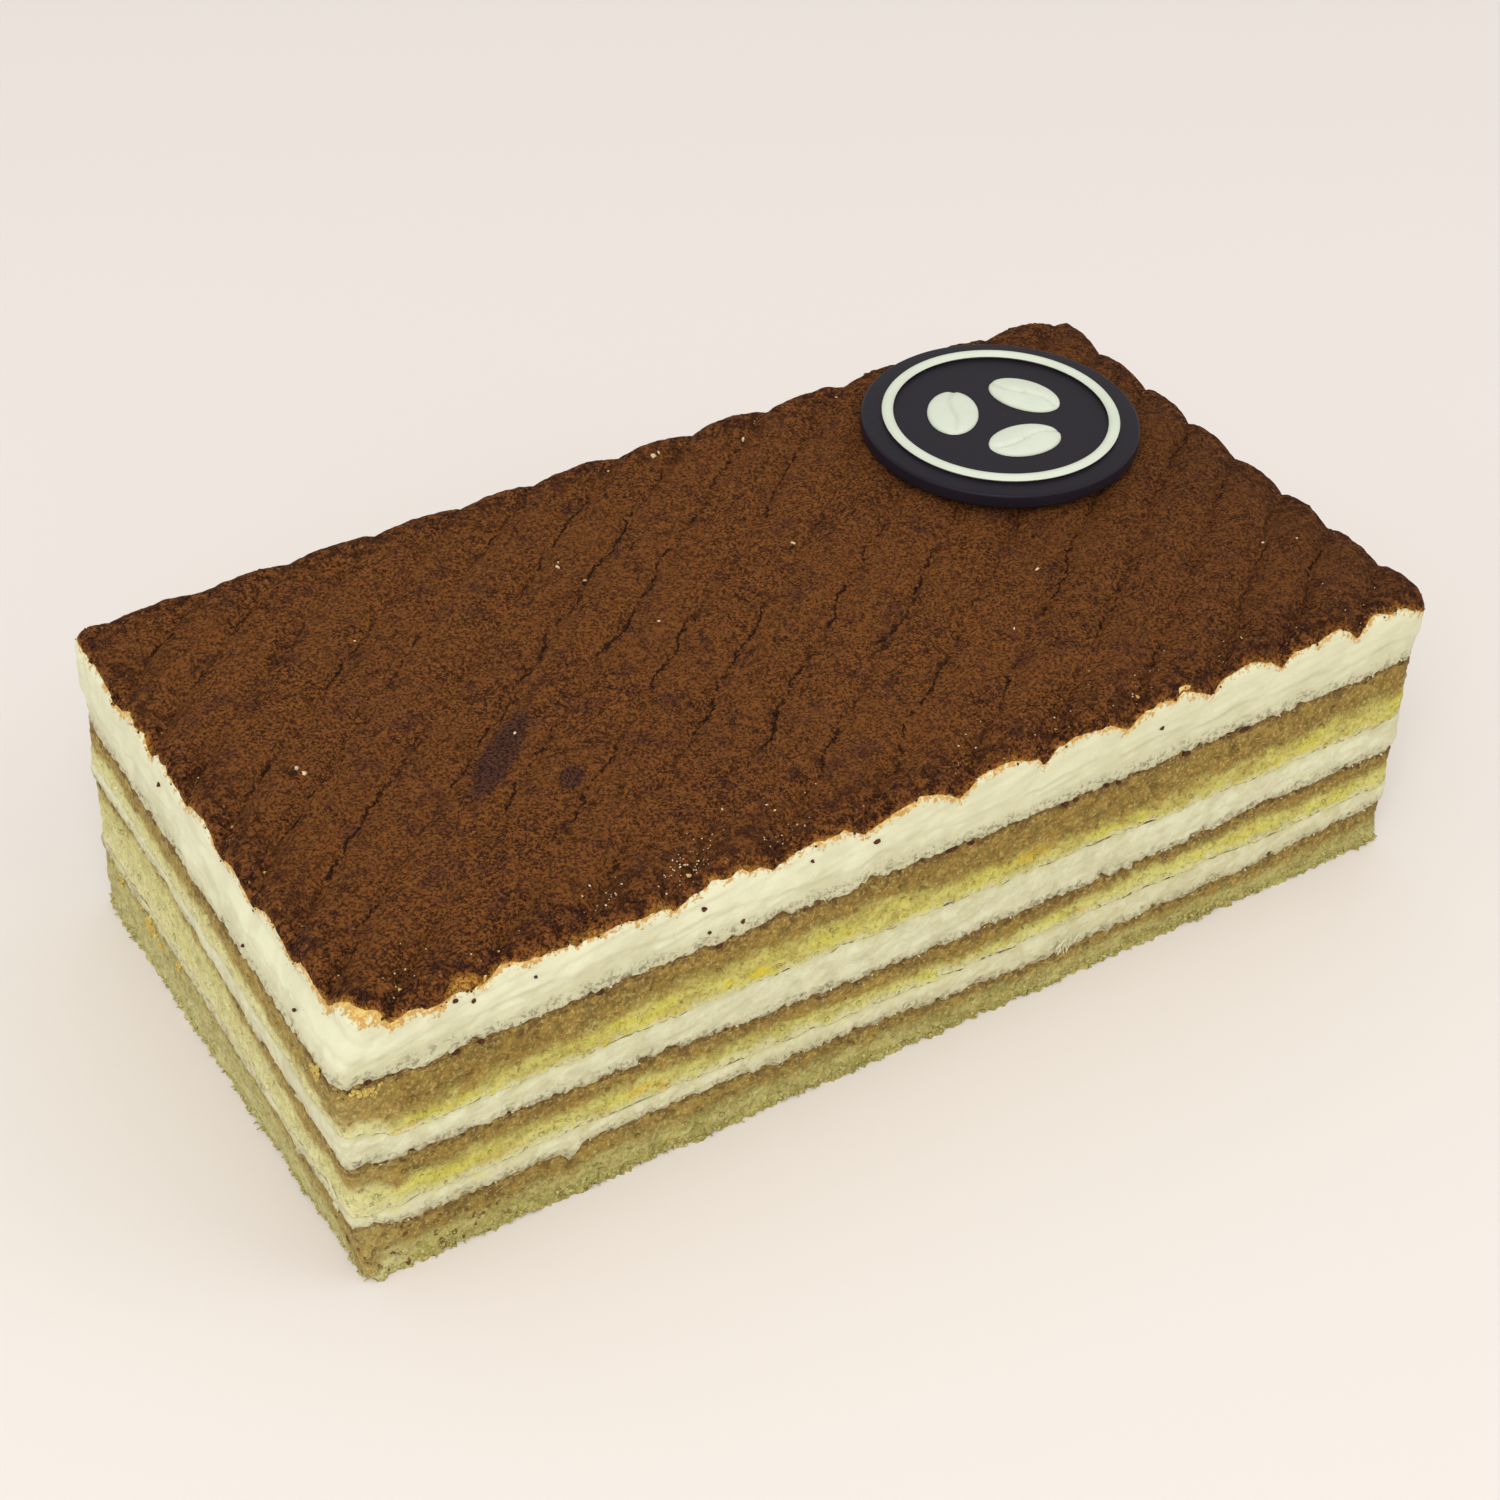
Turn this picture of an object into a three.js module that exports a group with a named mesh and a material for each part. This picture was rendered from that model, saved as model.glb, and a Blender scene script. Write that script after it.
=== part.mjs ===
// A tray-cut tiramisu: three coffee-soaked sponges, three layers of mascarpone cream, a dusting of
// cocoa over piped diagonal ridges, and a round chocolate plaque with an ivory relief.
// Millimetres. The origin is at the bottom centre, +X runs along the long side, +Z is up.

import * as THREE from 'three';

// ---- driving dimensions -----------------------------------------------------------------

const LENGTH = 249; // long side, along X, over its bulge
const DEPTH = 122; // short side, along Y
const CORNER_RADIUS = 5; // upright corners
const ASKEW = 3; // how much the right end, cut askew, comes in at the back
const BULGE = 4; // how far the left end leans out at the front corner
const BULGE_HEIGHT = 50; // height at which it leans out fully
const BULGE_TOP = 61; // height at which it has gone back in
const LAYER_GAP = 0.3; // air between one layer and the next

const RIDGE_ANGLE = THREE.MathUtils.degToRad(37.5); // from the long side, towards the back right
const RIDGE_PITCH = 12.05;
const RIDGE_HEIGHT = 2.9; // valley to crest, on the tallest ridge
const RIDGE_UNEVENNESS = 0.07; // share by which a ridge may be taller or lower than the mean one
const RIDGE_PHASE = 33.9; // offset of one valley from the centre
const RIDGE_DRIFT = { size: 1.4, ridges: 14, widest: 2 }; // slow wandering of the valleys
const RIDGE_WOBBLE = 0.4; // quick wandering of the valleys, from one to the next
const VALLEY_LEVEL = 66.7; // height of the valleys at the centre
const TOP_TILT = 0.6; // rise of the top from the centre to the right end
const TOP_CLIMB = 1.6; // rise of the top from the centre to the back
const END_DROP = 2.5; // sinking of the top at the right end
const END_RUN = 25; // how far from that end the top begins to sink
const SHOULDER = 3.8; // rounding of the top edge
const SHOULDER_START = 0.35; // how far into that rounding the wall meets it
const COCOA_THICKNESS = 0.8;

const PLAQUE_RADIUS = 29.8;
const PLAQUE_THICKNESS = 3.4;
const PLAQUE_ROUNDING = 0.7;
const PLAQUE_CENTRE = { x: 77, y: 25.9 };
const PLAQUE_TURN = THREE.MathUtils.degToRad(24);
const RELIEF_HEIGHT = 1.3;
const RELIEF_GAP = 0.05;
const RING_RADIUS = 24.2;
const RING_WIDTH = 2.4;
const BEAN_COUNT = 3;
const BEAN_LENGTH = 16.5;
const BEAN_WIDTH = 11;
const BEAN_OFFSET = 10.2; // from the middle of the plaque to the middle of a bean
const BEAN_SHOULDER = 0.94; // share of its width at which a bean's upright edge turns into the dome
const BEAN_DOME = 0.9; // the nearer to 1, the lower the dome's edge
const GROOVE_DEPTH = 0.6; // share of the bean's height
const GROOVE_WIDTH = 0.9; // half of it
const GROOVE_SWING = 0.9; // sideways, in a bean's length

// A seam is the wavy line between two layers: its mean height, how far it swings, where along X it
// is highest, half a wavelength, and how much it climbs from the front to the back.
const FLOOR = { level: 0, swing: 0, crest: 0, halfWave: 1, climb: 0 };
const SEAM_1 = { level: 11.4, swing: 1.8, crest: -72, halfWave: 126, climb: 2.3 };
const SEAM_2 = { level: 15.9, swing: 0.4, crest: 60, halfWave: 60, climb: 2.2 };
const SEAM_3 = { level: 27.6, swing: 2, crest: -132, halfWave: 174, climb: 3 };
const SEAM_4 = { level: 35.4, swing: 0.7, crest: -48, halfWave: 108, climb: 2.6 };
const SEAM_5 = { level: 51, swing: 0, crest: 0, halfWave: 1, climb: -1.5 };

// The sides of each layer: how far the layer stands back from the plan, how much it swells, and how
// far its side wanders in and out along the plan.
const SPONGE_SIDE = { setBack: 0.9, swell: 0.35, waviness: 0.35 };
const BASE_SIDE = { setBack: 0.6, swell: 0.3, waviness: 0.45 };
const CREAM_SIDE = { setBack: 0.7, swell: 0.6, waviness: 0.25 };
const TOP_CREAM_SWELL = 0.5;
const WAVES_PER_STEP = { quick: 0.9, slow: 0.37 }; // of that wandering, in radians

// What each piece looks like.
const PLAIN_SPONGE = { color: 0xb5a862, roughness: 0.9 };
const MIDDLE_SPONGE = { color: 0xc4b45f, roughness: 0.85 };
const TOP_SPONGE = { color: 0xb09a50, roughness: 0.85 };
const CREAM = { color: 0xe4ddb5, roughness: 0.6 };
const COCOA = { color: 0x683c24, roughness: 0.95 };
const DARK_CHOCOLATE = { color: 0x332e36, roughness: 0.55 };
const IVORY = { color: 0xd8dcc8, roughness: 0.5 };

const LAYERS = [
  { name: 'sponge_bottom', from: FLOOR, to: SEAM_1, side: BASE_SIDE, look: PLAIN_SPONGE },
  { name: 'cream_lower', from: SEAM_1, to: SEAM_2, side: CREAM_SIDE, look: CREAM },
  { name: 'sponge_middle', from: SEAM_2, to: SEAM_3, side: SPONGE_SIDE, look: MIDDLE_SPONGE },
  { name: 'cream_upper', from: SEAM_3, to: SEAM_4, side: CREAM_SIDE, look: CREAM },
  { name: 'sponge_top', from: SEAM_4, to: SEAM_5, side: SPONGE_SIDE, look: TOP_SPONGE },
];

// How finely the shapes are cut into faces.
const CORNER_STEPS = 6;
const LONG_SIDE_STEPS = 15;
const SHORT_SIDE_STEPS = 8;
const ROWS_PER_RIDGE = 5;
const SHOULDER_COLUMNS = [0, 0.8, 2.6, 5.8]; // along a ridge, from its cut end inwards
const MIDDLE_COLUMNS = 2; // between the two shoulders
const LEAST_ROW = 0.5; // how near the corner's tip a row may come
const END_SEARCH = 40; // halvings
const CAP_LOOP = 0.6; // share of the plan at which a loop halves each wide face
const PLAQUE_STEPS = 48;
const BEAN_STEPS = 20;
const BEAN_RINGS = 4;
const ARCH_STEPS = 4; // across the ring

// ---- closed solids ----------------------------------------------------------------------

class Solid {
  constructor() {
    this.positions = [];
    this.faces = [];
  }

  // Adds a row of points and gives their numbers.
  row(points) {
    const first = this.positions.length / 3;
    for (const point of points) this.positions.push(point.x, point.y, point.z);
    return points.map((_, i) => first + i);
  }

  // Joins two rows of equal length, or a row and a single tip.
  strip(a, b) {
    const steps = Math.max(a.length, b.length) - 1;
    for (let i = 0; i < steps; i++) {
      if (a.length > 1) this.faces.push(a[i], a[i + 1], b[b.length > 1 ? i + 1 : 0]);
      if (b.length > 1) this.faces.push(a[a.length > 1 ? i : 0], b[i + 1], b[i]);
    }
  }

  // Joins two closed loops, or closes a loop to a single tip.
  band(a, b) {
    const shut = (loop) => (loop.length > 1 ? [...loop, loop[0]] : loop);
    this.strip(shut(a), shut(b));
  }

  geometry() {
    const geometry = new THREE.BufferGeometry();
    geometry.setAttribute('position', new THREE.Float32BufferAttribute(this.positions, 3));
    geometry.setIndex(this.faces);
    geometry.computeVertexNormals();
    return geometry;
  }
}

// ---- the plan ---------------------------------------------------------------------------

const HALF_LENGTH = LENGTH / 2;
const HALF_DEPTH = DEPTH / 2;

// The plan's outline, anticlockwise from the start of the front right corner, as points with their
// outward normals.
function planOutline() {
  const outline = [];
  const sides = [SHORT_SIDE_STEPS, LONG_SIDE_STEPS, SHORT_SIDE_STEPS, LONG_SIDE_STEPS];
  sides.forEach((sideSteps, corner) => {
    const startAngle = (corner - 1) * Math.PI / 2;
    const signX = corner === 0 || corner === 1 ? 1 : -1;
    const signY = corner === 0 || corner === 3 ? -1 : 1;
    const centre = { x: signX * (HALF_LENGTH - CORNER_RADIUS), y: signY * (HALF_DEPTH - CORNER_RADIUS) };
    for (let i = 0; i <= CORNER_STEPS; i++) {
      const angle = startAngle + (Math.PI / 2) * (i / CORNER_STEPS);
      outline.push(outlinePoint(centre.x, centre.y, angle));
    }
    const endAngle = startAngle + Math.PI / 2;
    const along = { x: -Math.sin(endAngle), y: Math.cos(endAngle) };
    const run = 2 * (corner % 2 === 0 ? HALF_DEPTH - CORNER_RADIUS : HALF_LENGTH - CORNER_RADIUS);
    for (let i = 1; i < sideSteps; i++) {
      const shift = run * (i / sideSteps);
      outline.push(outlinePoint(centre.x + along.x * shift, centre.y + along.y * shift, endAngle));
    }
  });
  return outline;
}

function outlinePoint(x, y, angle) {
  const nx = Math.cos(angle);
  const ny = Math.sin(angle);
  return { x: x + CORNER_RADIUS * nx, y: y + CORNER_RADIUS * ny, nx, ny };
}

// How far a point lies inside the outline.
function depthInside(x, y) {
  const dx = Math.abs(x) - (HALF_LENGTH - CORNER_RADIUS);
  const dy = Math.abs(y) - (HALF_DEPTH - CORNER_RADIUS);
  return CORNER_RADIUS - Math.hypot(Math.max(dx, 0), Math.max(dy, 0)) - Math.min(Math.max(dx, dy), 0);
}

// The ends aren't square. The right one curves in from the front corner towards the back. The left
// one stands out at the front corner, most of all at the top sponge's upper edge.
function cutEnds(geometry) {
  const position = geometry.getAttribute('position');
  for (let i = 0; i < position.count; i++) {
    const x = position.getX(i);
    const back = Math.max((position.getY(i) + HALF_DEPTH - CORNER_RADIUS) / (DEPTH - CORNER_RADIUS), 0);
    const inRight = ASKEW * (1 - Math.max(1 - back, 0) ** 3);
    const out = bulgeAt(position.getZ(i)) * (1 - THREE.MathUtils.smoothstep(back, 0, 1));
    const rightEnd = Math.max(x / HALF_LENGTH, 0) ** 3;
    const leftEnd = Math.max(-x / HALF_LENGTH, 0) ** 3;
    position.setX(i, x - inRight * rightEnd + BULGE * (1 - out) * leftEnd);
  }
  geometry.computeVertexNormals();
  return geometry;
}

function bulgeAt(height) {
  if (height < BULGE_HEIGHT) return Math.sqrt(Math.max(height / BULGE_HEIGHT, 0));
  return 1 - Math.min((height - BULGE_HEIGHT) / (BULGE_TOP - BULGE_HEIGHT), 1) ** 2;
}

// ---- sponges and flat creams ------------------------------------------------------------

function seamHeight(seam, x, y) {
  const wave = seam.swing * Math.cos(Math.PI * (x - seam.crest) / seam.halfWave);
  return seam.level + wave + seam.climb * (0.5 + y / DEPTH);
}

// A layer is a stack of closed loops: out over its underside, up its side and in over its top.
function layerGeometry({ from, to, side }) {
  const outline = planOutline();
  const lift = from === FLOOR ? 0 : LAYER_GAP / 2;
  const low = (x, y) => seamHeight(from, x, y) + lift;
  const high = (x, y) => seamHeight(to, x, y) - LAYER_GAP / 2;
  const solid = new Solid();
  const capLoop = (height) => solid.row(outline.map((p) => at(p.x * CAP_LOOP, p.y * CAP_LOOP, height)));
  const sideLoop = (rise) =>
    solid.row(outline.map((p, i) => {
      const swell = side.swell * (Math.sin(Math.PI * rise) - 1);
      const wave = side.waviness * Math.sin(i * WAVES_PER_STEP.quick + from.level)
        * Math.sin(i * WAVES_PER_STEP.slow + to.level);
      const out = swell + wave - side.setBack;
      const x = p.x + out * p.nx;
      const y = p.y + out * p.ny;
      return { x, y, z: THREE.MathUtils.lerp(low(x, y), high(x, y), rise) };
    }));
  const loops = [
    solid.row([at(0, 0, low)]),
    capLoop(low),
    sideLoop(0),
    sideLoop(0.5),
    sideLoop(1),
    capLoop(high),
    solid.row([at(0, 0, high)]),
  ];
  for (let i = 1; i < loops.length; i++) solid.band(loops[i - 1], loops[i]);
  return solid.geometry();
}

function at(x, y, height) {
  return { x, y, z: height(x, y) };
}

// ---- ridged top -------------------------------------------------------------------------

const ALONG = { x: Math.cos(RIDGE_ANGLE), y: Math.sin(RIDGE_ANGLE) };
const ACROSS = { x: -Math.sin(RIDGE_ANGLE), y: Math.cos(RIDGE_ANGLE) };

// The plan's furthest point across the ridges, at its back left corner.
const CORNER_CENTRE = { x: -(HALF_LENGTH - CORNER_RADIUS), y: HALF_DEPTH - CORNER_RADIUS };
const REACH = {
  along: CORNER_CENTRE.x * ALONG.x + CORNER_CENTRE.y * ALONG.y,
  across: CORNER_CENTRE.x * ACROSS.x + CORNER_CENTRE.y * ACROSS.y + CORNER_RADIUS,
};

// The ridges were piped by hand: each valley is a little off its even place.
function valleyPlace(number) {
  const { size, ridges, widest } = RIDGE_DRIFT;
  const drift = size * Math.cos(2 * Math.PI * (number - widest) / ridges);
  const golden = Math.PI * (3 - Math.sqrt(5));
  return RIDGE_PHASE - RIDGE_PITCH * number + drift + RIDGE_WOBBLE * Math.sin(number * golden);
}

// A ridge's cross-section is an arc that rises from 0 in one valley to 1 at the crest.
function ridgeArc(share) {
  const radius = (RIDGE_PITCH ** 2 / 4 + RIDGE_HEIGHT ** 2) / (2 * RIDGE_HEIGHT);
  const sideways = (share - 0.5) * RIDGE_PITCH;
  return (Math.sqrt(radius ** 2 - sideways ** 2) - radius + RIDGE_HEIGHT) / RIDGE_HEIGHT;
}

function shoulderDrop(inside) {
  const flat = Math.max(SHOULDER - SHOULDER_START - inside, 0);
  return SHOULDER - Math.sqrt(SHOULDER ** 2 - flat ** 2);
}

function topHeight(x, y, arc, ridgeHeight) {
  const level = VALLEY_LEVEL + TOP_TILT * (x / HALF_LENGTH) + TOP_CLIMB * (y / HALF_DEPTH);
  const endDrop = END_DROP * Math.max(0, 1 - (HALF_LENGTH - x) / END_RUN) ** 2;
  return level + ridgeHeight * arc - endDrop - shoulderDrop(depthInside(x, y));
}

function ridgePoint(along, across) {
  return { x: along * ALONG.x + across * ACROSS.x, y: along * ALONG.y + across * ACROSS.y };
}

// Where a row that runs along the ridges leaves the plan, going one way (+1) or the other (-1).
function rowEnd(across, way) {
  const middle = REACH.along * (across / REACH.across);
  let inside = 0;
  let outside = LENGTH + DEPTH;
  for (let i = 0; i < END_SEARCH; i++) {
    const tried = (inside + outside) / 2;
    const point = ridgePoint(middle + way * tried, across);
    if (depthInside(point.x, point.y) > 0) inside = tried;
    else outside = tried;
  }
  return middle + way * inside;
}

// Rows of top points, from the front right corner to the back left one. Each row runs along the
// ridges and is cut off at the plan's outline; the first and last rows are single tips.
function topRows() {
  const rows = [];
  const first = Math.ceil((RIDGE_PHASE + REACH.across) / RIDGE_PITCH) + 1;
  const last = Math.floor((RIDGE_PHASE - REACH.across) / RIDGE_PITCH) - 1;
  for (let ridge = first; ridge > last; ridge--) {
    const ridgeHeight = RIDGE_HEIGHT * (1 + RIDGE_UNEVENNESS * (Math.sin(ridge ** 2) - 1));
    for (let i = 0; i < ROWS_PER_RIDGE; i++) {
      const share = i / ROWS_PER_RIDGE;
      const across = THREE.MathUtils.lerp(valleyPlace(ridge), valleyPlace(ridge - 1), share);
      if (Math.abs(across) > REACH.across - LEAST_ROW) continue;
      rows.push(topRow(across, ridgeArc(share), ridgeHeight));
    }
  }
  const tip = (sign) => {
    const point = ridgePoint(sign * REACH.along, sign * REACH.across);
    return [{ ...point, z: topHeight(point.x, point.y, 0.5, RIDGE_HEIGHT) }];
  };
  return [tip(-1), ...rows, tip(1)];
}

function topRow(across, arc, ridgeHeight) {
  const start = rowEnd(across, -1);
  const end = rowEnd(across, 1);
  const shoulder = SHOULDER_COLUMNS.at(-1);
  const squeeze = Math.min(1, (end - start) / (3 * shoulder));
  const places = SHOULDER_COLUMNS.map((step) => start + step * squeeze);
  for (let i = 1; i <= MIDDLE_COLUMNS; i++) {
    const share = i / (MIDDLE_COLUMNS + 1);
    places.push(THREE.MathUtils.lerp(start + shoulder * squeeze, end - shoulder * squeeze, share));
  }
  for (const step of [...SHOULDER_COLUMNS].reverse()) places.push(end - step * squeeze);
  return places.map((along) => {
    const point = ridgePoint(along, across);
    return { ...point, z: topHeight(point.x, point.y, arc, ridgeHeight) };
  });
}

function lowered(rows, drop) {
  return rows.map((row) => row.map((point) => ({ ...point, z: point.z - drop })));
}

// Adds a face made of rows, seen from above or from below.
function addSheet(solid, rows, faceUp) {
  const numbers = rows.map((row) => solid.row(row));
  for (let i = 1; i < rows.length; i++) {
    if (faceUp) solid.strip(numbers[i - 1], numbers[i]);
    else solid.strip(numbers[i], numbers[i - 1]);
  }
  return rimOf(numbers);
}

// The rim of a sheet as one anticlockwise loop: down the rows' far ends and back up their starts.
function rimOf(rows) {
  const between = rows.slice(1, -1);
  const farEnds = between.map((row) => row.at(-1));
  const starts = between.map((row) => row[0]).reverse();
  return [rows[0][0], ...farEnds, rows.at(-1)[0], ...starts];
}

function cocoaGeometry(rows) {
  const solid = new Solid();
  const rim = addSheet(solid, rows, true);
  const underRim = addSheet(solid, lowered(rows, COCOA_THICKNESS), false);
  solid.band(underRim, rim);
  return solid.geometry();
}

// The ridged cream stands on the plane of the top seam. Its side leans in under the cocoa's rim and
// again at the foot, so it is fullest half-way up.
function topCreamGeometry(rows) {
  const solid = new Solid();
  const rim = addSheet(solid, lowered(rows, COCOA_THICKNESS + LAYER_GAP), true);
  const edge = rimOf(rows);
  const onSeam = (point) => seamHeight(SEAM_5, point.x, point.y) + LAYER_GAP / 2;
  const footPoint = (point) => {
    const foot = moved(point, -TOP_CREAM_SWELL);
    return { ...foot, z: onSeam(foot) };
  };
  const waist = solid.row(edge.map((point) => ({ ...point, z: (point.z + onSeam(point)) / 2 })));
  const footRows = rows.map((row) => (row.length > 1 ? [row[0], row.at(-1)] : row).map(footPoint));
  const foot = addSheet(solid, footRows, false);
  solid.band(foot, waist);
  solid.band(waist, rim);
  return solid.geometry();
}

// Moves a rim point outwards, square to the plan's outline.
function moved(point, out) {
  const dx = Math.max(Math.abs(point.x) - (HALF_LENGTH - CORNER_RADIUS), 0) * Math.sign(point.x);
  const dy = Math.max(Math.abs(point.y) - (HALF_DEPTH - CORNER_RADIUS), 0) * Math.sign(point.y);
  const size = Math.hypot(dx, dy);
  return { x: point.x + (out * dx) / size, y: point.y + (out * dy) / size };
}

// ---- chocolate plaque -------------------------------------------------------------------

function turnedSolid(profile) {
  const geometry = new THREE.LatheGeometry(profile.map(([r, z]) => new THREE.Vector2(r, z)), PLAQUE_STEPS);
  return geometry.rotateX(Math.PI / 2);
}

function plaqueGeometry() {
  const soft = PLAQUE_ROUNDING * (1 - Math.SQRT1_2);
  return turnedSolid([
    [0, 0],
    [PLAQUE_RADIUS - PLAQUE_ROUNDING, 0],
    [PLAQUE_RADIUS, PLAQUE_ROUNDING],
    [PLAQUE_RADIUS, PLAQUE_THICKNESS - PLAQUE_ROUNDING],
    [PLAQUE_RADIUS - soft, PLAQUE_THICKNESS - soft],
    [PLAQUE_RADIUS - PLAQUE_ROUNDING, PLAQUE_THICKNESS],
    [0, PLAQUE_THICKNESS],
  ]);
}

// The ring's section is a low arch with a flat foot.
function ringGeometry() {
  const profile = [];
  for (let i = 0; i <= ARCH_STEPS; i++) {
    const angle = Math.PI * (i / ARCH_STEPS);
    profile.push([RING_RADIUS + RING_WIDTH / 2 * Math.cos(angle), RELIEF_HEIGHT * Math.sin(angle)]);
  }
  profile.push(profile[0]);
  return turnedSolid(profile);
}

// A coffee bean is a low dome with a groove down its middle that snakes once.
function beanGeometry() {
  const loop = (share) => {
    const points = [];
    for (let i = 0; i < BEAN_STEPS; i++) {
      const angle = 2 * Math.PI * (i / BEAN_STEPS);
      const x = BEAN_LENGTH / 2 * share * Math.cos(angle);
      const y = BEAN_WIDTH / 2 * share * Math.sin(angle);
      points.push({ x, y, z: RELIEF_HEIGHT * beanRise(share, x, y) });
    }
    return points;
  };
  const solid = new Solid();
  const middle = solid.row([{ x: 0, y: 0, z: RELIEF_HEIGHT * beanRise(0, 0, 0) }]);
  const foot = solid.row(loop(1).map((point) => ({ ...point, z: 0 })));
  const footMiddle = solid.row([{ x: 0, y: 0, z: 0 }]);
  let outer = foot;
  for (let i = BEAN_RINGS; i > 0; i--) {
    const next = i < BEAN_RINGS ? solid.row(loop(i / BEAN_RINGS)) : solid.row(loop(BEAN_SHOULDER));
    solid.band(outer, next);
    outer = next;
  }
  solid.band(outer, middle);
  solid.band(footMiddle, foot);
  return solid.geometry();
}

function beanRise(share, x, y) {
  const dome = Math.sqrt(1 - (BEAN_DOME * share) ** 2);
  const groovePlace = GROOVE_SWING * Math.sin((2 * Math.PI * x) / BEAN_LENGTH);
  const groove = Math.exp(-(((y - groovePlace) / GROOVE_WIDTH) ** 2));
  return dome * (1 - GROOVE_DEPTH * groove);
}

// ---- assembly ---------------------------------------------------------------------------

function piece(name, geometry, look) {
  const mesh = new THREE.Mesh(geometry, new THREE.MeshStandardMaterial({ ...look, metalness: 0 }));
  mesh.name = name;
  return mesh;
}

function plaqueGroup(restHeight) {
  const group = new THREE.Group();
  group.position.set(PLAQUE_CENTRE.x, PLAQUE_CENTRE.y, restHeight);
  group.rotation.z = PLAQUE_TURN;
  group.add(piece('plaque', plaqueGeometry(), DARK_CHOCOLATE));
  const relief = [piece('relief_ring', ringGeometry(), IVORY)];
  for (let i = 0; i < BEAN_COUNT; i++) {
    const angle = 2 * Math.PI * (i / BEAN_COUNT);
    const bean = piece(`relief_bean_${i + 1}`, beanGeometry(), IVORY);
    bean.position.set(BEAN_OFFSET * Math.cos(angle), BEAN_OFFSET * Math.sin(angle), 0);
    bean.rotation.z = angle + Math.PI / 2;
    relief.push(bean);
  }
  for (const raised of relief) {
    raised.position.z = PLAQUE_THICKNESS + RELIEF_GAP;
    group.add(raised);
  }
  return group;
}

// The plaque lies on the highest crest beneath it.
function crestUnderPlaque(rows) {
  const covered = rows.flat().filter((point) =>
    Math.hypot(point.x - PLAQUE_CENTRE.x, point.y - PLAQUE_CENTRE.y) < PLAQUE_RADIUS + RIDGE_PITCH);
  return Math.max(...covered.map((point) => point.z));
}

const tiramisu = new THREE.Group();
for (const layer of LAYERS) {
  tiramisu.add(piece(layer.name, cutEnds(layerGeometry(layer)), layer.look));
}
const rows = topRows();
tiramisu.add(piece('cream_top', cutEnds(topCreamGeometry(rows)), CREAM));
tiramisu.add(piece('cocoa', cutEnds(cocoaGeometry(rows)), COCOA));
tiramisu.add(plaqueGroup(crestUnderPlaque(rows) + RELIEF_GAP));

export default tiramisu;
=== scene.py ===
import math
import random

import bmesh
import bpy
from mathutils import Matrix, Vector, noise


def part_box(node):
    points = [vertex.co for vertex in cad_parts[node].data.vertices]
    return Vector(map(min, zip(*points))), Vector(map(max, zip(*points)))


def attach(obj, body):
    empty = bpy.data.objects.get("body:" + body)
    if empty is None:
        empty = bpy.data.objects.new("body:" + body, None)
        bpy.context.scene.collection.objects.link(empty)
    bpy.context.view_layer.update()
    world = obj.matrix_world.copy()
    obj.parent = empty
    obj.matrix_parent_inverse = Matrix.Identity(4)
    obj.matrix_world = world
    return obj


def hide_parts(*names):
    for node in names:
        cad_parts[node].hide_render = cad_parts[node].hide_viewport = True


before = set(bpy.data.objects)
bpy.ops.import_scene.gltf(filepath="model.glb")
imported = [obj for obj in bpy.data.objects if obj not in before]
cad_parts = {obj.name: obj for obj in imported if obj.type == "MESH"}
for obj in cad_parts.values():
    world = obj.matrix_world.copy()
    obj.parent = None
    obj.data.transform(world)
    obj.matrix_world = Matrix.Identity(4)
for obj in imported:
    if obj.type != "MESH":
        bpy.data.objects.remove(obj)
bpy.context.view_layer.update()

# --------------------
# Bottom sponge: a sheet of plain yellow sponge, only damp at its upper face.
# It is cut with a wet knife, so its sides are torn crumb with open pores, and
# its foot is a jagged row of loose crumbs.
# --------------------

# sizes of the whole cake, in millimetres
LENGTH, DEPTH, CORNER = 249.0, 122.0, 5.0
ASKEW = 3.0  # the right end is cut askew
BULGE, BULGE_HEIGHT, BULGE_TOP = 4.0, 50.0, 61.0  # the left end leans out
SHARP_CORNER = 1.1  # the near corner was cut sharper than the others
BITE, PANEL = 0.5, 12.2  # length of one face along a side, and of one panel of them
ON_SIDE = 0.01  # nearer to the outline than this is on the side

# where one layer ends and the next begins: level, swing, crest, half wave, climb
SEAM = {
    "floor": (0.0, 0.0, 0.0, 1.0, 0.0),
    "lower cream foot": (11.4, 1.8, -72.0, 126.0, 2.3),
    "lower cream top": (15.9, 0.4, 60.0, 60.0, 2.2),
    "upper cream foot": (27.6, 2.0, -132.0, 174.0, 3.0),
    "upper cream top": (35.4, 0.7, -48.0, 108.0, 2.6),
    "top cream foot": (51.0, 0.0, 0.0, 1.0, -1.5),
}
JOIN, HIDDEN_JOIN = 0.015, 0.3  # half of the gap between layers: at the sides, and added inside


def rough(size, seed, x, y, z=0.0):
    """Soft noise from -1 to 1 whose lumps are about size wide."""
    return noise.noise(Vector((x + seed * 17.3, y - seed * 9.1, z + seed * 5.7)) / size)


def smooth(low, high, value):
    share = min(max((value - low) / (high - low), 0.0), 1.0)
    return share * share * (3.0 - 2.0 * share)


def fade(low, high, value):
    return 1.0 - smooth(low, high, value)


def seam_height(name, x, y):
    level, swing, crest, half_wave, climb = SEAM[name]
    return level + swing * math.cos(math.pi * (x - crest) / half_wave) + climb * (0.5 + y / DEPTH)


# stations along the front (x) and the left side (y) at which the cut sides are described
FRONT_STATIONS = (-110, -85, -51, -18, 15, 49, 82, 115)
LEFT_STATIONS = (-45, -25, 0, 25, 50)


def between(stations, values, place):
    for i in range(len(stations) - 1):
        if place < stations[i + 1]:
            share = smooth(stations[i], stations[i + 1], place)
            return values[i] + (values[i + 1] - values[i]) * share
    return values[-1]


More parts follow.
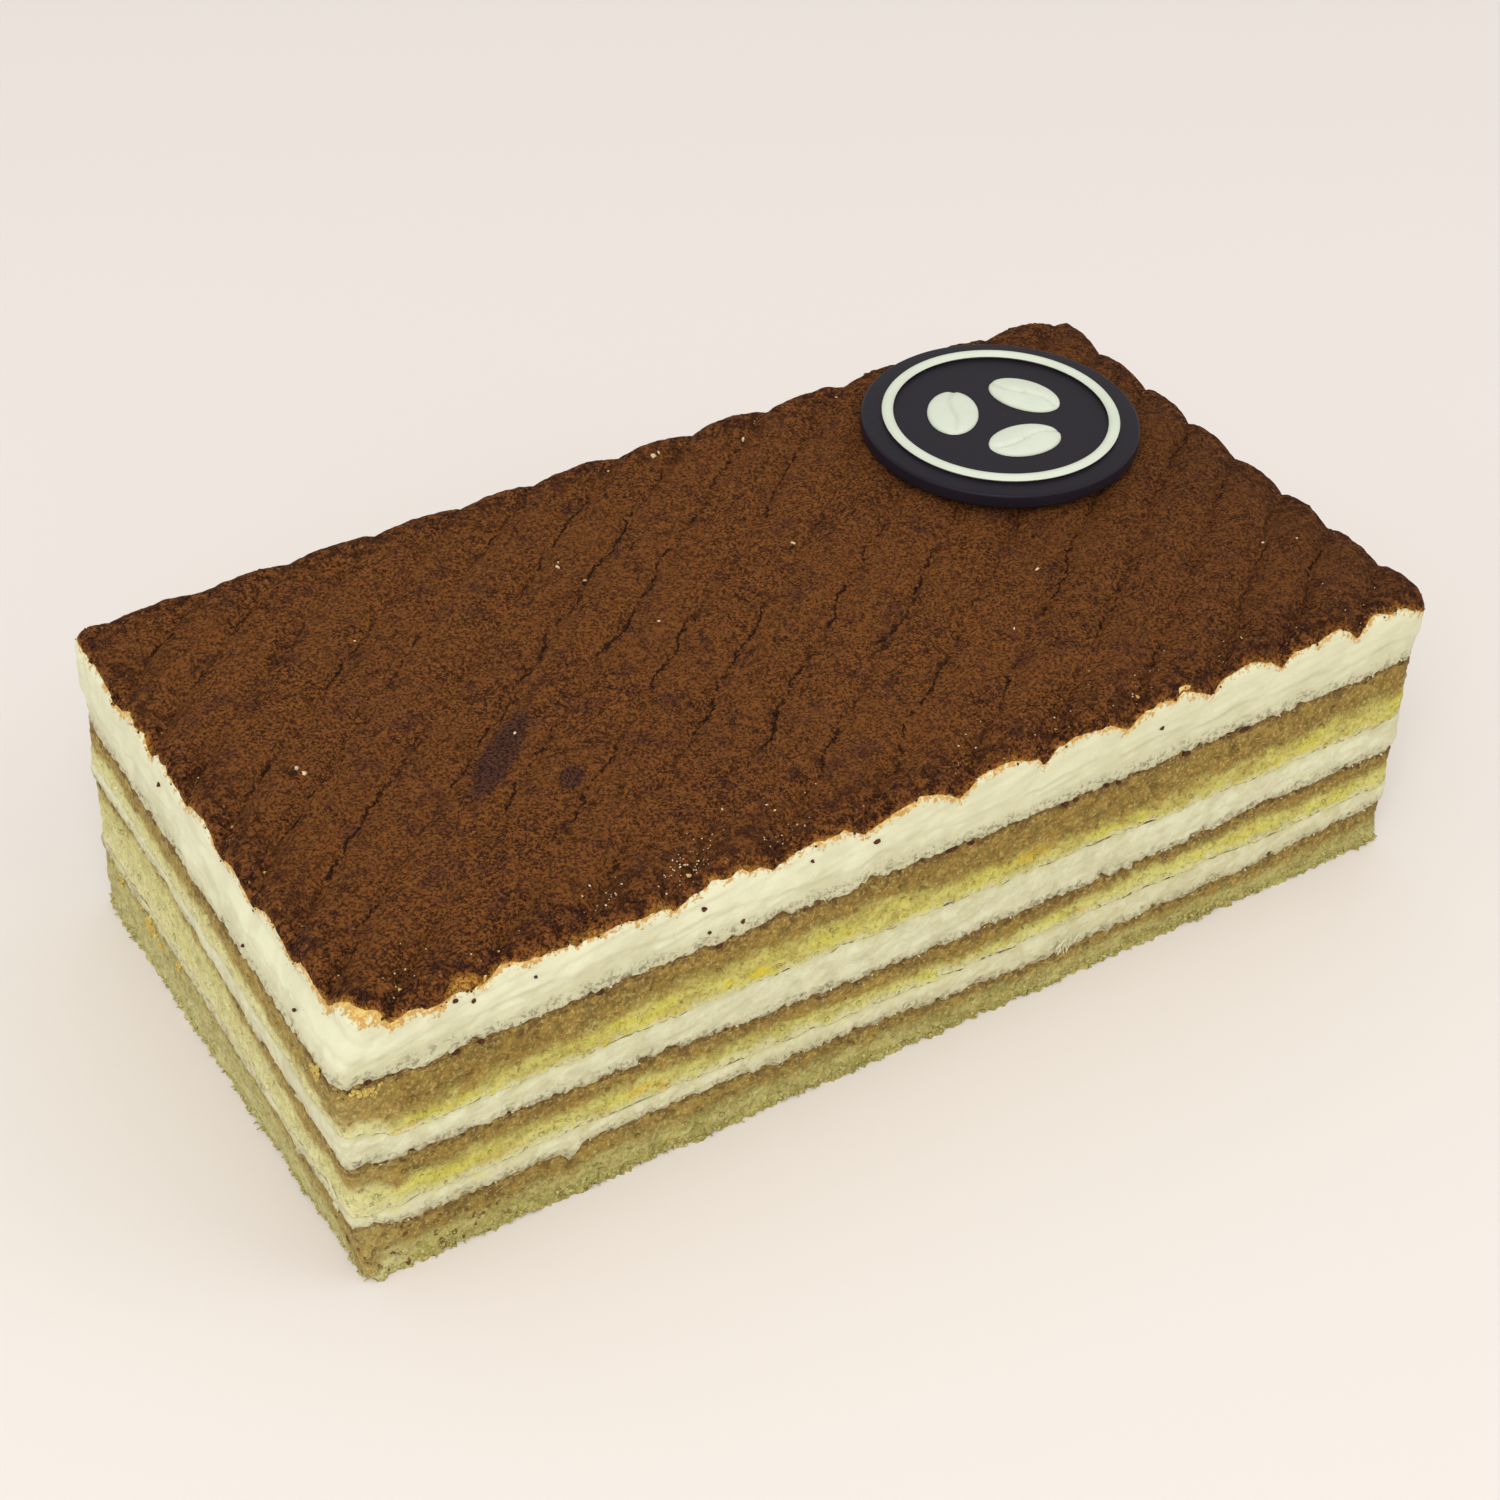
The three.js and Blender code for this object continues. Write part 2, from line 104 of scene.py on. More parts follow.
def along_sides(x, y, front, left, elsewhere):
    """A value that is given at stations along the front and the left side of the cake."""
    value = elsewhere
    value += (between(FRONT_STATIONS, front, x) - value) * fade(-58.0, -52.0, y)
    return value + (between(LEFT_STATIONS, left, y) - value) * fade(-121.0, -112.0, x)


# how far the knife has dragged each seam up or down: front, left side, elsewhere
DRAGGED = {
    "lower cream foot": ((-0.4, -0.8, -0.7, -0.9, -1.8, -1.2, -0.9, -0.5),
                         (2.8, 2.7, 2.8, 2.7, 2.1), -0.4),
    "lower cream top": ((1.7, 1.3, 1.0, 0.8, 0.3, 0, 0, 1), (2.4, 2.3, 2.1, 1.6, 1.0), 0.4),
    "upper cream foot": ((-0.9, -0.9, -1.2, -1.7, -1.7, -1.3, -0.9, -0.9),
                         (1.5, 2.1, 2.8, 3.2, 1.8), -0.6),
    "upper cream top": ((-0.2, -0.4, -0.4, -0.3, -0.2, 0, -0.2, -0.2), (4.2, 4.2, 3.0, 1.6, 1.6), 0.0),
    "top cream foot": ((-1.5, -1.6, -1.5, -1.7, -1.8, -1.7, -1.6, -1.5),
                       (0.0, 0.0, -0.7, -1.3, -0.8), -0.8),
}


def from_near_corner(x, y):
    return math.hypot(x + LENGTH / 2, y + DEPTH / 2)


def torn(name, x, y):
    """The height that the knife has added to a seam at the side of the cake."""
    if name == "floor":
        return 0.0
    seed, hanging = SEAM[name][0], 0.0
    if name == "lower cream foot" and y < -60.0:  # one dab hangs over the bottom sponge
        hanging = 2.6 * math.exp(-((x + 79.0) / 1.6) ** 2)
    if name == "top cream foot":  # it hangs in rags at the near corner
        hanging = 1.3 * rough(1.5, 9.0, x, y) * math.exp(-(from_near_corner(x, y) / 8.0) ** 2)
    return (along_sides(x, y, *DRAGGED[name]) - hanging + 0.5 * rough(7.0, seed, x, y)
            + 0.6 * rough(2.6, seed + 3.0, x, y) + 0.55 * rough(1.1, seed + 6.0, x, y))


def past_corners(x, y):
    """How far a point is past the centres of the plan's rounded corners."""
    return abs(x) - (LENGTH / 2 - CORNER), abs(y) - (DEPTH / 2 - CORNER)


def depth_inside(x, y):
    """Distance from the cake's outline, seen from above."""
    dx, dy = past_corners(x, y)
    return CORNER - math.hypot(max(dx, 0.0), max(dy, 0.0)) - min(max(dx, dy), 0.0)


def outward(x, y):
    """The direction out of the cake's side at a point of its outline."""
    dx, dy = (max(past, 0.0) for past in past_corners(x, y))
    length = math.hypot(dx, dy) or 1.0
    return math.copysign(dx / length, x), math.copysign(dy / length, y)


def corner_edge(x, y):
    """How far the near corner stands out of its rounding."""
    nx, ny = outward(x, y)
    return SHARP_CORNER * (2.0 * nx * ny) ** 2 if x < 0.0 and y < 0.0 else 0.0


def bulge_at(z):
    """The share of the left end's lean that is reached at a height."""
    if z < BULGE_HEIGHT:
        return math.sqrt(max(z / BULGE_HEIGHT, 0.0))
    return 1.0 - min((z - BULGE_HEIGHT) / (BULGE_TOP - BULGE_HEIGHT), 1.0) ** 2


def cut_ends(x, y, z):
    """The place of a point once the ends are cut."""
    back = max((y + DEPTH / 2 - CORNER) / (DEPTH - CORNER), 0.0)
    in_right = ASKEW * (1.0 - max(1.0 - back, 0.0) ** 3)
    out = bulge_at(z) * fade(0.0, 1.0, back)
    return (x - in_right * max(x / (LENGTH / 2), 0.0) ** 3
            + BULGE * (1.0 - out) * max(-x / (LENGTH / 2), 0.0) ** 3, y, z)


def uprights(slab):
    return [e for e in slab.edges if abs(e.verts[0].co.z - e.verts[1].co.z) > 0.5]


def cut_slab(rows):
    """A slab of the cake's plan, one unit thick, with its sides in small faces."""
    slab = bmesh.new()
    bmesh.ops.create_cube(slab, size=1.0)
    bmesh.ops.scale(slab, vec=(LENGTH, DEPTH, 1.0), verts=slab.verts)
    bmesh.ops.translate(slab, vec=(0.0, 0.0, 0.5), verts=slab.verts)
    bmesh.ops.bevel(slab, geom=uprights(slab), offset=CORNER, segments=16, profile=0.5,
                    affect="EDGES", material=-1)
    for axis, half, panels in ((0, LENGTH / 2 - CORNER, 20), (1, DEPTH / 2 - CORNER, 9)):
        for panel in range(panels + 1):
            place, normal = Vector((0, 0, 0)), Vector((0, 0, 0))
            place[axis], normal[axis] = half * (2 * panel / panels - 1), 1
            bmesh.ops.bisect_plane(slab, geom=slab.verts[:] + slab.edges[:] + slab.faces[:],
                                   plane_co=place, plane_no=normal, dist=1e-4)
    rim = [e for e in slab.edges if e.calc_length() > 5.0
           and any(abs(f.normal.z) < 0.5 for f in e.link_faces)
           and abs(e.verts[0].co.z - e.verts[1].co.z) < 0.5]
    bmesh.ops.subdivide_edges(slab, edges=rim, cuts=round(PANEL / BITE) - 1)
    bmesh.ops.subdivide_edges(slab, edges=uprights(slab), cuts=rows - 1)
    return slab


def finish_piece(shape, name, material, *nodes, slot):
    """Turns a shape in millimetres into a piece of the cake, in metres."""
    bmesh.ops.recalc_face_normals(shape, faces=shape.faces)
    for e in shape.edges:  # keeps the edges of the layers crisp
        e.smooth = e.calc_face_angle(0.0) < 1.0
    bmesh.ops.scale(shape, vec=(0.001,) * 3, verts=shape.verts)
    mesh = bpy.data.meshes.new(name)
    shape.to_mesh(mesh)
    shape.free()
    mesh.polygons.foreach_set("use_smooth", [True] * len(mesh.polygons))
    piece = bpy.data.objects.new(name, mesh)
    bpy.context.collection.objects.link(piece)
    mesh.materials.append(material)
    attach(piece, "root")
    if nodes:
        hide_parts(*nodes)


def lay_layer(rows, foot, top, side, soaked=None):
    """A layer between two seams. side gives how far each point of its side stands out,
    and soaked the share of its thickness that coffee has browned, along its sides."""
    layer = cut_slab(rows)
    rise, above, below, pale = (layer.verts.layers.float.new(a) for a in ("rise", "above", "below", "pale"))
    damp = layer.verts.layers.float.new("damp") if soaked else None
    for v in layer.verts:
        x, y, share = v.co
        v[rise] = share
        if soaked:
            v[damp] = share - 1.0 + along_sides(x, y, *soaked)
        low = seam_height(foot, x, y) + (JOIN if foot != "floor" else 0.0)
        high = seam_height(top, x, y) - JOIN
        on_side = depth_inside(x, y) < ON_SIDE
        if on_side:
            low += torn(foot, x, y)
            high += torn(top, x, y)
        else:
            low += HIDDEN_JOIN if foot != "floor" else 0.0
            high -= HIDDEN_JOIN
        z = low + (high - low) * share
        v[above], v[below], v[pale] = z - low, high - z, fade(-120.5, -110.0, x)
        if on_side:
            nx, ny = outward(x, y)
            out = side(x, y, z, share) + corner_edge(x, y)
            x, y = x + nx * out, y + ny * out
        v.co = cut_ends(x, y, z)
    return layer


class Wire:
    """One output of a node, or a number, that can be added, multiplied and so on."""

    def __init__(self, finish, socket):
        self.finish, self.socket = finish, socket

    def sum(self, how, *others):
        return self.finish.node("ShaderNodeMath", {"operation": how}, dict(enumerate((self, *others))))

    def __add__(self, other):
        return self.sum("ADD", other)

    def __sub__(self, other):
        return self.sum("SUBTRACT", other)

    def __rsub__(self, other):
        return self.finish.node("ShaderNodeMath", {"operation": "SUBTRACT"}, {0: other, 1: self})

    def __mul__(self, other):
        return self.sum("MULTIPLY", other)

    __radd__, __rmul__ = __add__, __mul__

    def from_to(self, low, high):
        """0 below low, 1 above high and a smooth step between; high may be the lower."""
        return self.finish.node("ShaderNodeMapRange", {"interpolation_type": "SMOOTHSTEP"},
                                {"Value": self, "From Min": low, "From Max": high})

    def until(self, low, high):
        """1 below low and 0 above high."""
        return 1.0 - self.from_to(low, high)

    def frayed(self, *frays):
        """This value shifted by noises, each of them given before the width of its shift."""
        value = self
        for uneven, width in zip(frays[::2], frays[1::2]):
            value = value + (uneven - 0.5) * width
        return value

    def overlaid(self, *coats):
        """This colour under coats of others, each given by its share from 0 to 1 and its levels."""
        colour = self
        for share, *levels in coats:
            colour = self.finish.blend(share, colour, srgb(*levels))
        return colour


class Finish:
    """The finish of one piece, built node by node."""

    def __init__(self, name):
        self.material = bpy.data.materials.new(name)
        self.material.use_nodes = True
        self.tree = self.material.node_tree
        self.shader = self.tree.nodes["Principled BSDF"]
        self.place = self.node("ShaderNodeTexCoord", out="Object")

    def node(self, kind, settings=None, values=None, out=0):
        made = self.tree.nodes.new(kind)
        for key, value in (settings or {}).items():
            setattr(made, key, value)
        for key, value in (values or {}).items():
            self.feed(made.inputs[key], value)
        return Wire(self, made.outputs[out])

    def feed(self, socket, value):
        if isinstance(value, Wire):
            self.tree.links.new(value.socket, socket)
        elif isinstance(value, tuple) and len(value) < len(socket.default_value):
            socket.default_value = (*value, 1.0)  # an opaque colour
        else:
            socket.default_value = value

    def attribute(self, name):
        return self.node("ShaderNodeAttribute", {"attribute_name": name}, out="Fac")

    def stretched(self, x, y, z, lean=0.0):
        """The place on the cake, turned up to the right by lean and scaled along each axis."""
        turned = self.node("ShaderNodeMapping", {"vector_type": "POINT"},
                           {"Vector": self.place, "Rotation": (-lean, lean, 0.0)})
        return self.node("ShaderNodeMapping", {"vector_type": "POINT"},
                         {"Vector": turned, "Scale": (x, y, z)})

    def along(self):
        """The place along the cake's length, in metres."""
        return self.node("ShaderNodeSeparateXYZ", {}, {0: self.place}, out="X")

    def grain(self, size, detail=2.0, roughness=0.5, distortion=0.0, at=None):
        """Noise from 0 to 1 with lumps about size millimetres wide, torn finer by roughness."""
        return self.node("ShaderNodeTexNoise", {"noise_dimensions": "3D"},
                         {"Vector": at or self.place, "Scale": 1000.0 / size, "Detail": detail,
                          "Roughness": roughness, "Distortion": distortion}, out="Fac")

    def cells(self, size):
        """The distance from 0 to 1 to the nearest of points about size millimetres apart."""
        return self.node("ShaderNodeTexVoronoi", {"feature": "F1"},
                         {"Vector": self.place, "Scale": 1000.0 / size, "Randomness": 1.0}, out="Distance")

    def blend(self, share, first, second):
        """The first colour where share is 0 and the second where it is 1."""
        made = self.tree.nodes.new("ShaderNodeMix")
        made.data_type, made.clamp_factor = "RGBA", True
        for number, value in ((0, share), (6, first), (7, second)):
            self.feed(made.inputs[number], value)
        return Wire(self, made.outputs[2])

    def relief(self, height, depth):
        """Bump of the given depth in millimetres."""
        return self.node("ShaderNodeBump", {}, {"Height": height, "Distance": depth * 0.001, "Strength": 1.0})

    def coat(self, colour, roughness, normal=None, shine=0.5, milky=0.0):
        """Gives the piece its finish; milky is the share of light that soaks into it."""
        for name, value in (("Base Color", colour), ("Roughness", roughness), ("Specular IOR Level", shine),
                            ("Subsurface Weight", milky), ("Subsurface Scale", 0.002),
                            ("Subsurface Radius", (1.0, 0.85, 0.6)), ("Normal", normal)):
            if value is not None:
                self.feed(self.shader.inputs[name], value)
        return self.material


def srgb(*levels):
    """A colour given by its levels from 0 to 255, made linear for the shader."""
    return tuple(v / 255 / 12.92 if v < 10.3 else ((v / 255 + 0.055) / 1.055) ** 2.4 for v in levels)


FLUSH = 0.45  # how far in a sponge meets the cream under it


def crumb_side(set_back, crumb, foot=0.0):
    """The torn side of a sponge: lumps, crumbs and pores, flush with the cream it lies on."""
    def side(x, y, z, share):
        own = smooth(0.0, 0.22, share) if foot == 0.0 else 1.0
        out = 0.3 * rough(8.0, 5.0, x, y, z) - FLUSH - (set_back - FLUSH) * smooth(0.0, 0.5, share)
        out += own * (0.3 * rough(3.6, 1.0, x, y, z) - 0.1 * smooth(0.8, 1.0, share))
        fringe = own + foot * fade(0.0, 0.22, share)
        out += crumb * fringe * (rough(1.5, 2.0, x, y, z) + 0.7 * rough(0.8, 3.0, x, y, z))
        pore = smooth(0.3, 0.55, rough(2.2, 4.0, x, y, z))
        return out - 0.8 * pore * own
    return side


def sponge_finish(name, crumb, yellow, soaked, dark_line, blobs, wash=0.0, left=0.6,
                  stain=False, hot_spots=False):
    """Sponge crumb that turns from its own yellow to coffee brown towards its upper face.
    wash is how many millimetres up the cream it lies on has been dragged over it, and
    left how much the knife has smeared cream over its left side."""
    f = Finish(name)
    rise, damp, above, below, pale = (f.attribute(a) for a in ("rise", "damp", "above", "below", "pale"))
    broad = f.grain(16.0)
    lump = f.grain(4.0, 3.0, 0.6)
    fine = f.grain(1.5, 4.0, 0.72)
    crumbs = (fine * 0.5 + lump * 0.5).from_to(0.4, 0.59)
    streak = f.grain(3.4, 3.0, at=f.stretched(0.5, 0.5, 1.1, lean=0.15), roughness=0.6)
    tone = f.blend(crumbs * 0.4 + streak.from_to(0.4, 0.6) * 0.6, crumb, yellow)
    heat = f.grain(6.0, 3.0, at=f.stretched(0.55, 0.55, 1.2)).from_to(0.5, 0.62) * rise.until(0.2, 0.6)
    spots = f.grain(7.0, at=f.stretched(0.5, 0.5, 1.0)).from_to(0.64, 0.72) * rise.until(0.25, 0.7)
    tone = tone.overlaid((heat * blobs * 0.75, 208, 199, 84), (spots * blobs, 206, 172, 60))
    if wash:
        tone = tone.overlaid((above.frayed(lump, 5.0, fine, 3.0).until(-0.4, 2.0 * wash) * 0.85, 214, 209, 166))
    smear = f.blend(crumbs, srgb(212, 206, 146), srgb(232, 226, 176))
    tone = f.blend(pale * left * (1.45 - rise), tone, smear)
    # the coffee, and painted contact shadow in a dark band just under the cream that lies on it
    soak = damp.frayed(lump, 0.55, broad, 0.35, fine, 0.4).from_to(-0.17, 0.14)
    brown = f.blend(crumbs, tuple(c * 0.72 for c in soaked), tuple(c * 1.22 for c in soaked))
    tone = f.blend(soak, tone, brown.overlaid((pale * 0.3, 188, 168, 102)))
    murk = f.grain(5.0, 3.0, at=f.stretched(0.5, 0.5, 1.0), roughness=0.6).from_to(0.54, 0.66)
    shadow_line = below.frayed(fine, 6.0, lump, 5.0).until(0.4, 2.0) * dark_line
    tone = tone.overlaid((murk * soak * dark_line * 0.3, 112, 82, 42), (shadow_line * 0.7, 98, 66, 38))
    if stain:
        tone = tone.overlaid((f.grain(1.7, 3.0).from_to(0.58, 0.66) * f.attribute("stain"), 106, 74, 36))
    # dark and light crumbs, and painted shade in the pores and in the small dents under the cream
    speckle = f.grain(0.8, 3.0, 0.75)
    shaded_holes = f.cells(2.1).from_to(0.34, 0.2) * f.grain(3.0).from_to(0.5, 0.6)
    shaded_pocks = f.cells(1.7).from_to(0.4, 0.24) * f.grain(8.0).from_to(0.44, 0.54)
    shaded_pocks = shaded_pocks * below.frayed(fine, 2.0).until(0.8, 2.0)
    tone = tone.overlaid((speckle.from_to(0.53, 0.64) * 0.42, 98, 76, 38),
                     (speckle.from_to(0.47, 0.36) * 0.34, 224, 210, 140),
                     (shaded_holes * (soak * 0.3 + 0.14), 106, 82, 40), (shaded_pocks * dark_line * 0.85, 66, 40, 26))
    if hot_spots:
        tone = tone.overlaid((f.attribute("hot_spot"), 214, 194, 48))
    return f.coat(tone, 0.85, f.relief(fine * 0.8 + lump * 0.25 - shaded_holes * 0.5, 0.9), shine=0.2)


bottom_side = crumb_side(0.7, 0.32, foot=2.2)
bottom = lay_layer(28, "floor", "lower cream foot", bottom_side,
                   ((0.5, 0.45, 0.42, 0.4, 0.3, 0.34, 0.38, 0.42), (0.4, 0.12, 0.02, 0.0, 0.0), 0.3))
stain, damp = bottom.verts.layers.float.new("stain"), bottom.verts.layers.float.get("damp")
for v in bottom.verts:  # coffee spots near the near corner, and a patch on the left side
    x, y, z = v.co
    v[stain] = fade(-104.0, -70.0, x) * fade(-56.0, -30.0, y)
    v[stain] = max(v[stain], fade(-122.0, -118.0, x) * math.exp(-((y - 36.0) / 6.0) ** 2)
                   * smooth(6.0, 10.0, z))
    v[damp] += 0.45 * fade(-121.0, -114.0, x) * fade(-57.0, -46.0, y)
finish_piece(
    bottom, "bottom_sponge",
    sponge_finish("plain sponge", srgb(150, 137, 74), srgb(188, 177, 110), srgb(148, 122, 60),
                  0.55, 0.15, stain=True, left=0.3),
    "sponge_bottom", slot="plain_sponge")

# --------------------
# Lower cream: a thin spread of pale mascarpone cream on the bottom sponge.
# It is spread with a spatula and cut through with the cake, so its side is
# smooth where the blade dragged it and torn into tufts along its foot.
# --------------------


def cream_side(set_back, swell, tuft):
    """The side of a cream layer: soft drag marks, and a pitted, torn foot."""
    def side(x, y, z, share):
        own = fade(0.82, 1.0, share)
        out = 0.3 * rough(8.0, 5.0, x, y, z) - FLUSH + (FLUSH - set_back) * smooth(0.0, 0.3, 1.0 - share)
        out += swell * own * (math.sin(math.pi * share) - 1.0)
        out += own * (0.25 * noise.noise(Vector((x * 0.1, y * 0.1, z * 0.9 - x * 0.12)))
                      + 0.2 * rough(3.0, 14.0, x, y, z))
        ragged = fade(0.0, 0.45, share)
        out -= 0.25 * fade(0.0, 0.2, share)
        out += tuft * (0.4 + ragged) * own * (rough(1.4, 6.0, x, y, z) + 0.6 * rough(0.8, 7.0, x, y, z))
        return out - 0.7 * ragged * smooth(0.15, 0.45, rough(2.0, 8.0, x, y, z))
    return side


def cream_finish(name, lit, shade, tufted):
    """Pale cream with short drag marks, blotches, and painted shade in the hollows of its torn foot."""
    f = Finish(name)
    above, below = f.attribute("above"), f.attribute("below")
    drag = f.grain(2.2, 4.0, at=f.stretched(0.4, 0.4, 1.0, lean=0.3), roughness=0.6, distortion=1.0)
    soft = f.grain(5.0, 3.0, 0.6)
    lump = f.grain(4.0, 3.0, 0.6)
    fine = f.grain(1.0, 4.0, 0.7)
    foot = above.frayed(soft, 4.0).until(0.6, 3.4)
    shaded_pits = fine.from_to(0.53, 0.63) * (0.12 + foot * tufted)
    tone = f.blend(soft.from_to(0.38, 0.6) * 0.5 + drag.from_to(0.4, 0.58) * 0.5, shade, lit)
    speck = f.cells(2.6).from_to(0.16, 0.06) * f.grain(9.0).from_to(0.5, 0.62)
    tone = tone.overlaid((speck * 0.7, 204, 204, 110), (foot * soft.from_to(0.4, 0.6) * 0.6, 190, 178, 134),
                     # sponge dragged over its upper edge and its foot
                     (below.frayed(lump, 5.0, fine, 3.0).until(-0.6, 1.0) * 0.6, 204, 196, 118),
                     (above.frayed(fine, 3.0, lump, 2.0).until(-0.3, 0.4) * 0.7, 150, 118, 72),
                     # painted shade in the hollows of the foot
                     (shaded_pits * 0.7, 154, 134, 92))
    height = drag * 0.5 + soft * 0.25 + fine * (foot * 0.6 + 0.4) - shaded_pits * 0.7
    return f.coat(tone, 0.6, f.relief(height, 0.6), shine=0.3, milky=0.12)


finish_piece(
    lay_layer(12, "lower cream foot", "lower cream top", cream_side(0.1, 0.3, 0.3)),
    "lower_cream", cream_finish("thin cream", srgb(217, 212, 175), srgb(196, 188, 146), 0.7),
    "cream_lower", slot="cream")

# --------------------
# Middle sponge: yellow sponge brushed with coffee from above, so it is olive
# brown in its upper half and bright yellow above the cream it lies on.
# --------------------

finish_piece(
    lay_layer(26, "lower cream top", "upper cream foot", crumb_side(0.8, 0.26),
              ((0.5, 0.46, 0.45, 0.52, 0.6, 0.44, 0.42, 0.5), (0.4, 0.3, 0.14, 0.06, 0.1), 0.46)),
    "middle_sponge",
    sponge_finish("soaked middle sponge", srgb(174, 160, 80), srgb(210, 202, 118),
                  srgb(146, 119, 56), 0.85, 1.0, wash=1.3),
    "sponge_middle", slot="soaked_sponge")

# --------------------
# Upper cream: the thicker spread of mascarpone cream between the two soaked
# sponges, laid on and cut like the lower one, whiter and rougher at its foot.
# --------------------

finish_piece(
    lay_layer(18, "upper cream foot", "upper cream top", cream_side(0.1, 0.35, 0.3)),
    "upper_cream", cream_finish("spread cream", srgb(219, 216, 181), srgb(200, 194, 155), 0.85),
    "cream_upper", slot="cream")

# --------------------
# Top sponge: the sponge that took most of the coffee. More than half of its
# side is olive brown, mottled dark under the cream, and yellow at its foot.
# --------------------

top_sponge = lay_layer(30, "upper cream top", "top cream foot", crumb_side(0.8, 0.26),
                       ((0.75, 0.64, 0.48, 0.5, 0.68, 0.7, 0.64, 0.53),
                        (0.74, 0.66, 0.57, 0.6, 0.56), 0.58))
hot_spot = top_sponge.verts.layers.float.new("hot_spot")
for v in top_sponge.verts:  # spots of egg-yellow crumb on the front
    for x, z, wide, high in ((-37.7, 37.9, 2.2, 1.1), (-70.8, 35.9, 0.9, 0.8), (-44.5, 38.0, 1.0, 0.7)):
        spot = math.exp(-((v.co.x - x) / wide) ** 2 - ((v.co.z - z) / high) ** 2)
        v[hot_spot] = max(v[hot_spot], spot * fade(-59.0, -57.0, v.co.y))
finish_piece(
    top_sponge, "top_sponge",
    sponge_finish("soaked top sponge", srgb(174, 158, 78), srgb(210, 200, 112),
                  srgb(146, 118, 55), 0.95, 1.0, wash=0.9, hot_spots=True),
    "sponge_top", slot="soaked_sponge")

# --------------------
# Top cream: a thick bed of cream, piped in ridges from one side of the cake to
# the other at a slant. Its sides are smoothed with a spatula; its shoulders
# are soft and round, and its foot is pitted where it tore from the sponge.
# --------------------

RIDGE_ANGLE = math.radians(37.5)
RIDGE_PITCH, RIDGE_HEIGHT, RIDGE_UNEVENNESS = 12.05, 2.9, 0.07
RIDGE_PHASE, RIDGE_DRIFT, RIDGE_WOBBLE = 33.9, 1.4, 0.4
VALLEY_LEVEL, TOP_TILT, TOP_CLIMB = 66.7, 0.6, 1.6
END_DROP, END_RUN = 2.5, 25.0
SHOULDER, SHOULDER_START = 3.8, 0.35
SHOULDER_WIDTH = SHOULDER - SHOULDER_START
SHOULDER_TURN = math.asin(SHOULDER_WIDTH / SHOULDER)  # how far the shoulder turns down
SHOULDER_LONG = SHOULDER * SHOULDER_TURN
SHOULDER_ROWS, SIDE_ROWS = 8, 32
TOP_SHARE = 1.2  # share at the shoulder's start; it is 0 at the cream's foot, 1 at the shoulder's end
CREAM_UNDER = 0.45  # the cocoa's depth on the cream
COARSE = 2.0  # length of one face of the hidden top
GOLDEN_TURN = math.pi * (3.0 - math.sqrt(5.0))
RIDGE_RADIUS = (RIDGE_PITCH ** 2 / 4 + RIDGE_HEIGHT ** 2) / (2 * RIDGE_HEIGHT)


def valley_place(n):
    return (RIDGE_PHASE - RIDGE_PITCH * n + RIDGE_DRIFT * math.cos(2 * math.pi * (n - 2) / 14)
            + RIDGE_WOBBLE * math.sin(n * GOLDEN_TURN))


def ridge_at(x, y):
    """The number of the ridge at a point, and the share of its width from its first valley."""
    across = -x * math.sin(RIDGE_ANGLE) + y * math.cos(RIDGE_ANGLE)
    n = round((RIDGE_PHASE - across) / RIDGE_PITCH)
    while valley_place(n) > across:
        n += 1
    while valley_place(n - 1) <= across:
        n -= 1
    return n, (across - valley_place(n)) / (valley_place(n - 1) - valley_place(n))


def crown(share):
    """The rounded section of a ridge: 0 in its valleys and 1 at its crest."""
    fall = (share - 0.5) * RIDGE_PITCH
    return (math.sqrt(RIDGE_RADIUS ** 2 - fall ** 2) - RIDGE_RADIUS + RIDGE_HEIGHT) / RIDGE_HEIGHT


def top_height(x, y):
    """The top of the cocoa, without the fall of its shoulders."""
    n, share = ridge_at(x, y)
    height = RIDGE_HEIGHT * (1.0 + RIDGE_UNEVENNESS * (math.sin(n * n) - 1.0))
    # away from the sides the valleys are partly filled, least towards the right end
    filled = smooth(2.0, 20.0, depth_inside(x, y)) * (0.66 - 0.26 * smooth(20.0, 110.0, x))
    back = smooth(36.0, 56.0, y) * (0.62 - 0.3 * smooth(-90.0, 40.0, x))
    filled = max(filled, back, 0.34 * smooth(96.0, 118.0, x))
    arc = 1.0 - (1.0 - crown(share)) * (1.0 - filled)
    end = max(0.0, 1.0 - (LENGTH / 2 - x) / END_RUN)
    return (VALLEY_LEVEL + TOP_TILT * x / (LENGTH / 2) + TOP_CLIMB * y / (DEPTH / 2)
            + height * arc - END_DROP * end * end)


def outline_point(x, y, inside):
    """The point straight in from a point of the outline, by the given distance."""
    nx, ny = outward(x, y)
    return x - nx * inside, y - ny * inside


def shoulder(along):
    """How far in from the outline and how far down the shoulder is, along mm from its start."""
    turn = along / SHOULDER
    if turn <= SHOULDER_TURN:
        return SHOULDER_WIDTH - SHOULDER * math.sin(turn), SHOULDER * (1.0 - math.cos(turn))
    return 0.0, SHOULDER * (1.0 - math.cos(SHOULDER_TURN)) + along - SHOULDER_LONG


